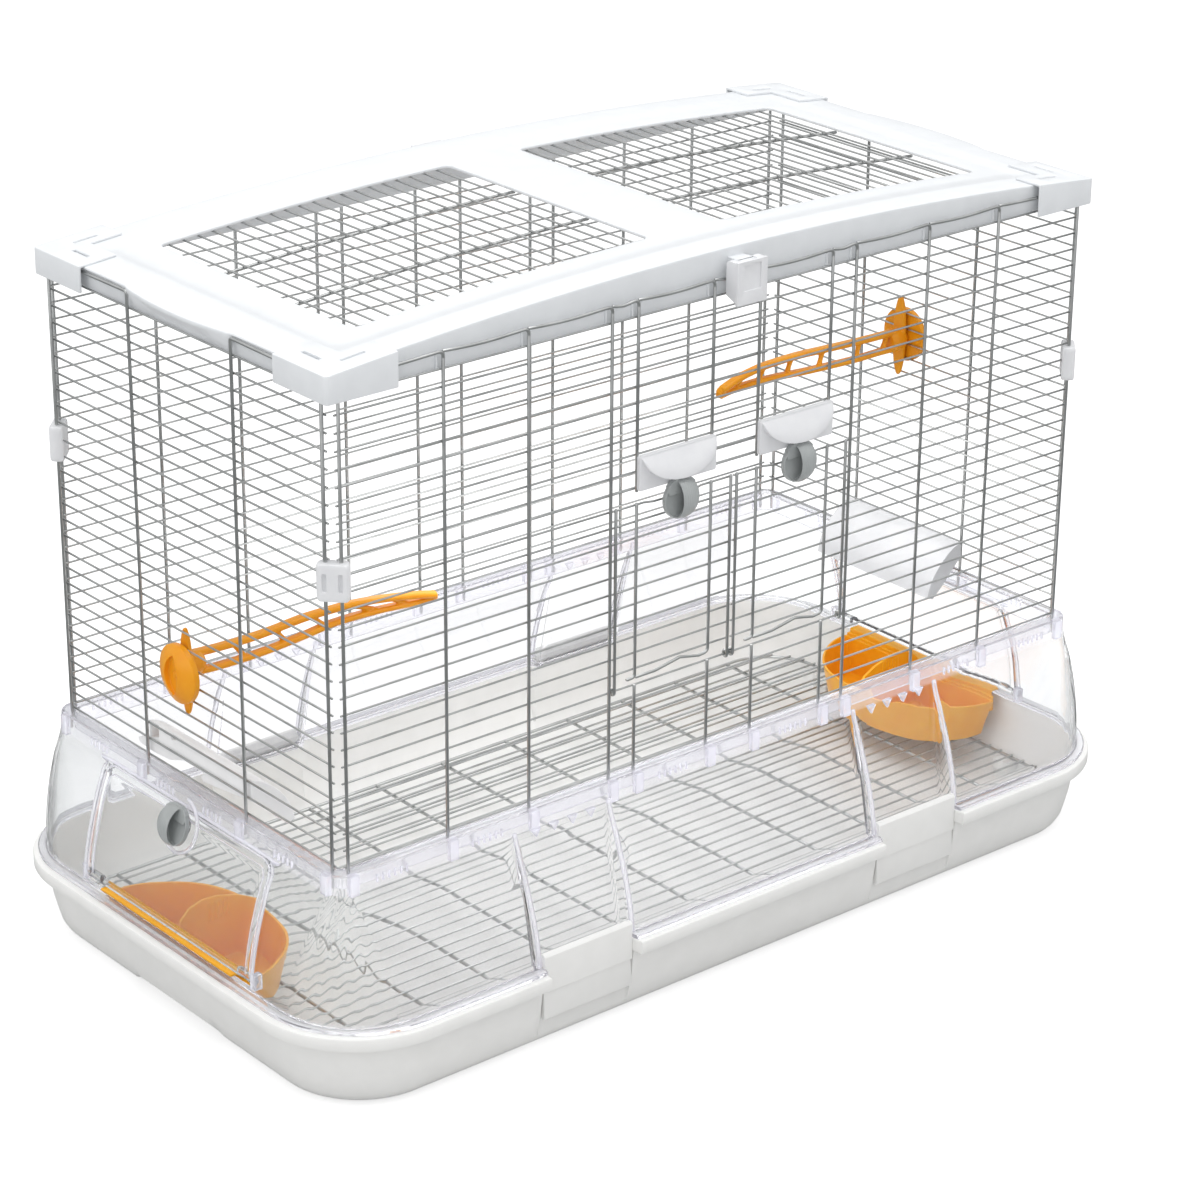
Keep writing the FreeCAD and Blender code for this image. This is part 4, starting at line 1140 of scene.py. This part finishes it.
SHELL, BEADS = clear_base()
piece("clear_shell", SHELL, "cage", CLEAR, ["clear_base"], 30)
piece("clear_beads", BEADS, "cage", EDGE, [], 30)


# ------------------------------------------------------------------- end doors
def end_door():
    """Curved clear flap with a thicker border, hinge barrel, knob boss and cradle (left end)."""
    ys = sorted(set([v for a in (0, 15, 30, 45, 60, 75, 88, 94.0, 97.0, 99.4, 101.0, 103.8, 106.2) for v in (-a, a)]))
    zs = [73.8, 76.5, 79.5, 82.0, 84.0, 92, 100, 108, 116, 124, 132, 140, 146, 150.0, 152.0, 154.4, 157.0, 159.6, 161.8]

    def border(y, z):
        d = min(106.2 - abs(y), 161.8 - z, z - 73.8 + 2.0)
        return 1 - step01((d - 4.6) / 1.6)

    def xin(y, z):
        return section(z)[0] - 2.0 - 2.0 * border(y, z)

    def xout(y, z):
        return section(z)[0] - 0.2 - 0.5 * (1 - step01((min(106.2 - abs(y), 161.8 - z) - 8.5) / 1.2)) \
            + 0.5 * (1 - step01((min(106.2 - abs(y), 161.8 - z) - 3.0) / 1.2))

    def shape(y, z):
        """Pull the grid in at the two upper corners so that they are round."""
        r = 10.0
        dy, dz = abs(y) - (106.2 - r), z - (161.8 - r)
        if dy > 0 and dz > 0:
            k = max(dy, dz) / math.hypot(dy, dz)
            return math.copysign(106.2 - r + dy * k, y), 161.8 - r + dz * k
        return y, z
    nv, nz = len(ys), len(zs)
    verts, faces = [], []
    for side in (0, 1):
        for z in zs:
            for y in ys:
                yy, zz = shape(y, z)
                x = -xout(yy, zz) if side == 0 else -xin(yy, zz)
                verts.append((x, yy, zz))
    N = nv * nz

    def ix(s, a, b):
        return s * N + a * nv + b
    for a in range(nz - 1):
        for b in range(nv - 1):
            faces.append((ix(0, a, b), ix(0, a, b + 1), ix(0, a + 1, b + 1), ix(0, a + 1, b)))
            faces.append((ix(1, a, b), ix(1, a + 1, b), ix(1, a + 1, b + 1), ix(1, a, b + 1)))
    edge = [(0, b) for b in range(nv)] + [(a, nv - 1) for a in range(1, nz)] + [(nz - 1, b) for b in range(nv - 2, -1, -1)] \
        + [(a, 0) for a in range(nz - 2, 0, -1)]
    for k in range(len(edge)):
        p, q = edge[k], edge[(k + 1) % len(edge)]
        faces.append((ix(0, *q), ix(0, *p), ix(1, *p), ix(1, *q)))
    m = Mesh().add(verts, faces)
    for sy in (-1, 1):
        m.rod((-385.0, sy * 89.0, 76.0), (-385.0, sy * 106.6, 76.0), 3.2, 20)
        m.rod((-385.0, sy * 104.0, 76.0), (-385.0, sy * 111.0, 76.0), 2.0, 16)
    # knob boss, and the open cradle that the knob turns in
    o = np.array((-373.5, 0.0, 152.6))
    u, v, w = np.array((0, -1.0, 0)), np.array((math.sin(TILT), 0, math.cos(TILT))), np.array((-math.cos(TILT), 0, math.sin(TILT)))
    m.rod(o - w * 5.0, o + w * 1.7, 8.0)
    m.rod(o + w * 1.4, o + w * 2.1, 2.9)
    # milky edge lines with a painted glow: the cradle, the outer border and the step inside it
    g = Mesh()
    ring = [o + (u * math.cos(q) + v * math.sin(q)) * 20.6 - w * 0.6 for q in np.linspace(math.radians(-165), math.radians(80), 40)]
    g.tube(ring, 1.5, 8)
    for inset, rad in ((1.0, 0.9), (6.6, 0.7)):
        path = []
        for z in np.linspace(78.0, 150.0, 18):
            path.append((106.2 - inset, z))
        rr = 10.0 - min(inset, 6.0) * 0.5
        for a in np.linspace(0, 90, 7):
            path.append((106.2 - inset - rr + rr * math.cos(math.radians(a)), 161.8 - inset - rr + rr * math.sin(math.radians(a))))
        path = path + [(-y, z) for y, z in reversed(path)]
        g.tube([(-(section(z)[0] - 0.25), y, z) for y, z in path], rad, 8)
    return m, g


DOOR, DOOR_EDGE = end_door()
piece("flap_left", DOOR.data("flap"), "end_door_left_body", CLEAR, ["end_door_left"], 32)
piece("flap_edge_left", DOOR_EDGE.data("flapedge"), "end_door_left_body", EDGE, [], 32)
piece("flap_right", DOOR.mirror("x").data("flap"), "end_door_right_body", CLEAR, ["end_door_right"], 32)
piece("flap_edge_right", DOOR_EDGE.mirror("x").data("flapedge"), "end_door_right_body", EDGE, [], 32)


# ------------------------------------------------------------------------ tray
def tray():
    m = Mesh()
    loops = []
    txs = sorted(set([v for a in (0, 50, 100, 116, 120, 122.2, 123.2, 123.8, 124.8, 128, 145, 166, 187, 203, 207, 208.2, 208.8, 209.8,
                                  213, 225, 260, 300) for v in (-a, a)]))
    tys = sorted(set([v for a in (0, 25, 45, 52, 55, 58, 61, 64, 68, 80, 100, 130) for v in (-a, a)]))

    def lev(z, X, Y, R, inset=0.0, foot=False):
        lp = []
        for x, y in outline(X, Y, R, txs, tys):
            zz = z
            if abs(x) < 230 and abs(y) > 150:
                a = abs(x)
                w = step01((a - (123.0 - inset)) / 1.4) * (1 - step01((a - (207.6 + inset)) / 1.4))
                lim = 206.0 - inset
                if abs(y) > lim:
                    y = math.copysign(abs(y) + (lim - abs(y)) * w, y)
            if foot and abs(x) > 330 and abs(y) < 70:
                h = 8.0 * (1 - step01((abs(y) - 52.0) / 11.0))
                if zz < h:
                    zz = h + 0.06 * zz
            lp.append((x, y, zz))
        loops.append(lp)
    T = 2.6
    lev(2.6, 366.0, 189.5, 51.5)
    lev(4.0, 371.0, 194.5, 56.0)
    lev(7.5, 376.0, 199.5, 61.5, T)
    lev(14.0, 381.0, 204.4, 66.0, T)
    lev(30.0, 385.9, 208.9, 71.4, T)
    lev(45.0, 388.2, 211.0, 73.4, T)
    lev(55.0, 389.4, 211.9, 74.4, T)
    lev(63.8, 389.9, 212.4, 75.0, T)
    lev(64.6, 390.4, 212.9, 75.5, T * 0.9)
    lev(65.0, 391.4, 213.9, 76.4, T * 0.7)
    lev(65.0, 400.4, 222.4, 84.4, -0.3)
    lev(64.5, 401.5, 223.5, 85.5, -0.8)
    lev(63.4, 402.0, 224.0, 86.0, -1.0)
    lev(55.6, 402.0, 224.0, 86.0, -1.0)
    lev(54.8, 401.6, 223.6, 85.6, -0.8)
    lev(54.5, 400.8, 222.8, 84.8, -0.5)
    lev(54.8, 399.6, 221.6, 83.6, -0.35)
    lev(62.0, 399.2, 221.2, 83.2, -0.3)
    lev(62.4, 398.6, 220.6, 82.6, -0.25)
    lev(62.4, 393.4, 215.9, 78.2, -0.15)
    lev(61.6, 392.5, 215.0, 77.5, -0.1)
    lev(55.0, 392.0, 214.5, 77.0, 0.0)
    lev(42.0, 390.4, 213.1, 75.6, 0.0)
    lev(30.0, 388.5, 211.5, 74.0, 0.0)
    lev(20.0, 386.0, 209.2, 71.4, 0.0, True)
    lev(10.0, 383.0, 206.5, 68.0, 0.0, True)
    lev(6.0, 380.6, 204.2, 65.6, 0.0, True)
    lev(3.0, 378.0, 201.5, 63.0, 0.0, True)
    lev(1.0, 374.6, 198.1, 59.6, 0.0, True)
    lev(0.0, 370.0, 193.5, 55.0, 0.0, True)
    lev(0.0, 345.0, 170.0, 40.0, 0.0)
    m.loft(loops, cap0=True, cap1=True)
    for sx in (-1, 1):
        for y in (-110.0, 0.0, 110.0):
            m.box(sx * 368.0, y - 8, 9.0, sx * 381.0, y + 8, 19.3)
            if y:
                m.box(sx * 368.0, y - 8, 1.5, sx * 374.5, y + 8, 9.5)
    return m.data("tray")


piece("tray_shell", tray(), "tray_body", TRAY, ["tray"], 32)


# ----------------------------------------------------------------- floor grate
def grate():
    m = Mesh()
    GX, GY, GR, zx = 377.0, 178.0, 50.0, 23.0
    zy = zx - 0.9 - 1.4 + 0.15
    lp = []
    for cx, cy, a0 in ((GX - GR, -GY + GR, -90), (GX - GR, GY - GR, 0), (-GX + GR, GY - GR, 90), (-GX + GR, -GY + GR, 180)):
        for a in np.linspace(a0, a0 + 90, 13):
            q = math.radians(a)
            lp.append((cx + GR * math.cos(q), cy + GR * math.sin(q), zy))
    m.tube(lp, 1.4, 10, closed=True)

    def half_len(off, half, other, r):
        if abs(off) <= half - r:
            return other
        return other - r + math.sqrt(max(0.0, r * r - (abs(off) - half + r) ** 2))
    for k in range(-13, 14):
        y = k * 12.7
        h = half_len(y, GY, GX, GR) + 0.8
        m.tube([(x, y, zx) for x in np.linspace(-h, h, 5)], 0.9, 8)
    for x in (-318.0, -257.0, -196.0, -135.0, -67.5, 0.0, 67.5, 135.0, 196.0, 257.0, 318.0):
        h = half_len(x, GX, GY, GR) - 0.6
        m.tube([(x, y, zy) for y in np.linspace(-h, h, 5)], 1.4, 10)
    return m.data("grate")


piece("wires_grate", grate(), "tray_body", ZINC, ["floor_grate"], 40)

# ---------------------------------------------------------------- tray latches
for fb in ("front", "back"):
    for lr in ("left", "right"):
        nd = "tray_latch_%s_%s" % (fb, lr)
        piece("latch_%s_%s" % (fb, lr), rounded(Mesh().cad(nd), 0.8, 3, 30, 0.5), "latch_%s_%s" % (fb, lr), TRAY, [nd], 35)

# -------------------------------------------------------------- cups and hoods
for sd in ("left", "right"):
    sx = -1 if sd == "left" else 1
    cm = Mesh().cad("feed_cup_" + sd)
    # thick lip along the sill under the end door
    cm.box(sx * 390.6, -85.0, 69.75, sx * 378.8, 85.0, 71.5)
    cm.box(sx * 380.2, -85.0, 66.0, sx * 378.4, 85.0, 71.0)
    # fine ribs on the arched divider
    for k in range(6):
        x = 352.0 - 3.4 * k
        cm.box(sx * x, -1.75, 66.0, sx * (x - 0.9), 1.75, 81.0)
    piece("cup_bowl_" + sd, melt(cm, 0.5, 3, 0.3), "cup_" + sd, CUP, ["feed_cup_" + sd], 50)
    hm = Mesh()

    def bend(pts):
        return [(sx * p[0], p[2]) for p in smooth_path([(x, 0.0, z) for x, z in pts], 30)]
    top = bend([(353.6, 206.5), (346.0, 204.0), (337.0, 198.0), (328.0, 189.0), (321.0, 178.0), (317.5, 166.0)])
    low = bend([(319.6, 166.0), (323.0, 177.2), (329.6, 187.6), (338.2, 196.3), (346.6, 201.9), (353.6, 204.2)])
    cheek = top + [(sx * x, z) for x, z in ((324.0, 163.5), (334.0, 172.0), (344.0, 183.0), (353.6, 192.0))]
    for pts, y0, y1 in ((top + low, -66.0, 66.0), (cheek, -66.0, -64.0), (cheek, 64.0, 66.0)):
        hm.prism(pts if sx > 0 else pts[::-1], "y", y0, y1)
    for y in (-52.0, 36.0):
        hm.box(sx * 354.85, y, 193.0, sx * 351.6, y + 16, 206.0)
    wing = [(80.0, 187.6), (74.0, 190.6), (62.6, 193.6), (48.0, 198.2), (31.0, 202.9), (20.0, 205.2), (8.0, 206.4), (-16.0, 206.4),
            (-52.0, 206.3), (-66.0, 204.0), (-66.0, 190.5), (-32.0, 186.0), (-4.0, 182.5), (-2.0, 186.0), (-6.0, 190.5), (20.0, 190.5),
            (30.0, 187.0), (38.0, 184.2), (58.0, 182.6), (75.0, 183.4), (80.0, 185.2)]
    plain = [(65.0, 203.2), (52.0, 206.3), (0.0, 206.4), (-52.0, 206.3), (-66.0, 204.0), (-66.0, 193.0), (-20.0, 191.0), (-10.0, 193.5),
             (-6.0, 197.0), (34.0, 197.0), (54.0, 199.5)]
    hm.prism(wing if sx < 0 else plain, "x", sx * 351.6, sx * 354.6)
    # left hood gets the painted-light white, right hood the painted-shade white
    piece("hood_" + sd, melt(hm, 0.5, 2, 0.3), "cage", HOOD if sx < 0 else PAINTED_SHADE_HOOD, ["cup_hood_" + sd], 50)


# --------------------------------------------------------------------- perches
def perch_mesh(upper, lower, z, sx):
    m = Mesh()
    n = 90
    up = smooth_path([(sx * abs(x), 14.0, zz) for x, zz in upper], n)
    dn = smooth_path([(sx * abs(x), 14.0, zz) for x, zz in lower], n)
    n = min(len(up), len(dn))
    s = np.linspace(0, 1, n)
    tw = np.sin(s * 5.2) * 2.2
    up = up[:n].copy()
    dn = dn[:n].copy()
    up[:, 1] += tw
    dn[:, 1] -= tw
    for p, r in ((up, 2.6), (dn, 2.5)):
        for oy in (-1.7, 0.0, 1.7):
            q = p.copy()
            q[:, 1] += oy
            m.tube(q, r, 10)
    k = 6
    for i in range(k + 1):
        a = int(round((0.04 + 0.9 * i / k) * (n - 1)))
        b = min(n - 1, a + 3)
        m.tube([up[a], (up[a] + dn[b]) / 2, dn[b]], [2.6, 2.0, 2.6], 10)
    tip = (up[-1] + dn[-1]) / 2
    m.ball(tip, (4.0, 4.2, 4.6))
    m.tube([(sx * 352.5, 14.0, (upper[0][1] + lower[0][1]) / 2), (sx * 344.0, 14.0, (upper[0][1] + lower[0][1]) / 2)], 9.0, 24)
    m.tube([(sx * 352, 14, z), (sx * 362, 14, z)], 3.0, 14)
    loops = []
    for x, g in ((350.8, 0.92), (351.6, 1.0), (353.6, 1.0), (354.2, 0.96)):
        loops.append([(sx * x, 14 + 6.5 * g * math.cos(q), z + 34.0 * g * math.sin(q)) for q in np.linspace(0, 2 * math.pi, 40, endpoint=False)])
    m.loft(loops, cap0=True, cap1=True)
    return melt(m, 0.5, 3, 0.35)


LU = [(350.0, 276.0), (331, 274.2), (302.8, 273), (277.3, 273.8), (251.8, 276.0), (229.7, 276.6), (203.8, 276.2), (175.8, 273.2), (147.2, 268.3), (131.5, 264.5)]
LD = [(350.0, 261.6), (331.5, 260.8), (303.3, 260.9), (277.7, 262), (250.4, 264), (222.7, 266.0), (185.2, 264.6), (160.0, 262.2), (145.3, 260.8), (131.0, 260.4)]
RU = [(348.0, 369.7), (324.3, 369.2), (301, 369.5), (270.8, 370.6), (242.7, 372), (218.4, 372.4), (197.8, 372.0), (179.1, 369.8), (166.0, 366.6), (156.5, 363.2)]
RD = [(348.0, 355.4), (325, 356.4), (301.7, 356.5), (271.4, 357.5), (243.2, 358.5), (218.9, 359.7), (198.2, 360.0), (179.4, 359.1), (166.2, 358.0), (156.7, 356.6)]
piece("perch_bar_left", perch_mesh(LU, LD, (bar_z(19) + bar_z(20)) / 2, -1), "cage", ORANGE, ["perch_left"], 50)
piece("perch_bar_right", perch_mesh(RU, RD, (bar_z(11) + bar_z(12)) / 2, 1), "cage", ORANGE, ["perch_right"], 50)
for sd in ("left", "right"):
    piece("perch_disc_" + sd, melt(Mesh().cad("perch_%s_nut" % sd), 0.4, 3, 0.35), "perch_nut_" + sd, ORANGE, ["perch_%s_nut" % sd], 50)

# ----------------------------------------------------------- floor, light, camera
fl = bpy.data.meshes.new("studio_floor")
fl.from_pydata([(-40, -40, -0.0004), (40, -40, -0.0004), (40, 40, -0.0004), (-40, 40, -0.0004)], [], [(0, 1, 2, 3)])
floor = bpy.data.objects.new("studio_floor", fl)
bpy.context.scene.collection.objects.link(floor)
fm, nt, out = new_mat("paper_white")
bs = nt.nodes.new("ShaderNodeBsdfPrincipled")
bs.inputs["Base Color"].default_value = (0.60, 0.60, 0.60, 1)
bs.inputs["Roughness"].default_value = 0.9
bs.inputs["Specular IOR Level"].default_value = 0.1
bs.inputs["Emission Color"].default_value = (1, 1, 1, 1)
lpf = nt.nodes.new("ShaderNodeLightPath")
glow = nt.nodes.new("ShaderNodeMapRange")
glow.inputs["From Min"].default_value = 0.0
glow.inputs["From Max"].default_value = 1.0
glow.inputs["To Min"].default_value = 0.60
glow.inputs["To Max"].default_value = 0.04
link(nt, lpf, "Is Diffuse Ray", glow, "Value")
link(nt, glow, "Result", bs, "Emission Strength")
# mirror-like reflections see a dim floor, as under a flagged studio table
both = nt.nodes.new("ShaderNodeMath")
both.operation = "MULTIPLY"
nt.links.new(lpf.outputs["Is Reflection Ray"], both.inputs[0])
nt.links.new(lpf.outputs["Is Glossy Ray"], both.inputs[1])
dim = nt.nodes.new("ShaderNodeEmission")
dim.inputs["Color"].default_value = (0.30, 0.31, 0.31, 1)
dim.inputs["Strength"].default_value = 1.0
fmix = nt.nodes.new("ShaderNodeMixShader")
nt.links.new(both.outputs["Value"], fmix.inputs[0])
nt.links.new(bs.outputs["BSDF"], fmix.inputs[1])
nt.links.new(dim.outputs["Emission"], fmix.inputs[2])
link(nt, fmix, "Shader", out, "Surface")
fl.materials.append(fm)

world = bpy.data.worlds.new("studio")
bpy.context.scene.world = world
world.use_nodes = True
wt = world.node_tree
wt.nodes.clear()
wo = wt.nodes.new("ShaderNodeOutputWorld")
bg = wt.nodes.new("ShaderNodeBackground")
tc = wt.nodes.new("ShaderNodeTexCoord")
sp = wt.nodes.new("ShaderNodeSeparateXYZ")
rp = wt.nodes.new("ShaderNodeValToRGB")
rp.color_ramp.elements[0].position = 0.0
rp.color_ramp.elements[0].color = (0.72, 0.72, 0.735, 1)
rp.color_ramp.elements[1].position = 0.75
rp.color_ramp.elements[1].color = (1.0, 1.0, 1.0, 1)
mid = rp.color_ramp.elements.new(0.28)
mid.color = (0.93, 0.935, 0.94, 1)
wt.links.new(tc.outputs["Generated"], sp.inputs["Vector"])
wt.links.new(sp.outputs["Z"], rp.inputs["Fac"])
wt.links.new(rp.outputs["Color"], bg.inputs["Color"])
bg.inputs["Strength"].default_value = 0.88
wt.links.new(bg.outputs["Background"], wo.inputs["Surface"])


def area(name, loc, target, size, power):
    d = bpy.data.lights.new(name, "AREA")
    d.shape = "RECTANGLE"
    d.size, d.size_y = size
    d.energy = power
    o = bpy.data.objects.new(name, d)
    o.location = loc
    o.rotation_euler = (Vector(target) - Vector(loc)).to_track_quat("-Z", "Y").to_euler()
    bpy.context.scene.collection.objects.link(o)
    return o


area("top_soft", (-0.2, -0.3, 2.6), (0, 0, 0.2), (2.6, 2.2), 30)
area("front_soft", (-1.9, -2.6, 1.9), (0, 0, 0.2), (1.8, 1.6), 5)
area("left_soft", (-2.4, 0.4, 0.75), (-0.3, 0, 0.15), (1.6, 1.1), 4.2)
area("inside_fill", (0.09, 0, 0.315), (0.09, 0, 0.0), (0.5, 0.26), 0.62)

yaw, pitch, roll = math.radians(40.087), math.radians(23.2514), math.radians(0.4837)
d = Vector((math.sin(yaw) * math.cos(pitch), math.cos(yaw) * math.cos(pitch), -math.sin(pitch)))
r = Vector((math.cos(yaw), -math.sin(yaw), 0))
u = r.cross(d)
r2 = math.cos(roll) * r + math.sin(roll) * u
u2 = -math.sin(roll) * r + math.cos(roll) * u
cam_data = bpy.data.cameras.new("camera")
cam_data.sensor_width = 36.0
cam_data.lens = 3589.59 / 1200 * 36.0
cam_data.clip_end = 200
cam = bpy.data.objects.new("camera", cam_data)
bpy.context.scene.collection.objects.link(cam)
cam.matrix_world = Matrix(((r2.x, u2.x, -d.x, -1.6341), (r2.y, u2.y, -d.y, -1.9672), (r2.z, u2.z, -d.z, 1.3273), (0, 0, 0, 1)))
bpy.context.scene.camera = cam
bpy.context.scene.view_settings.view_transform = "Standard"
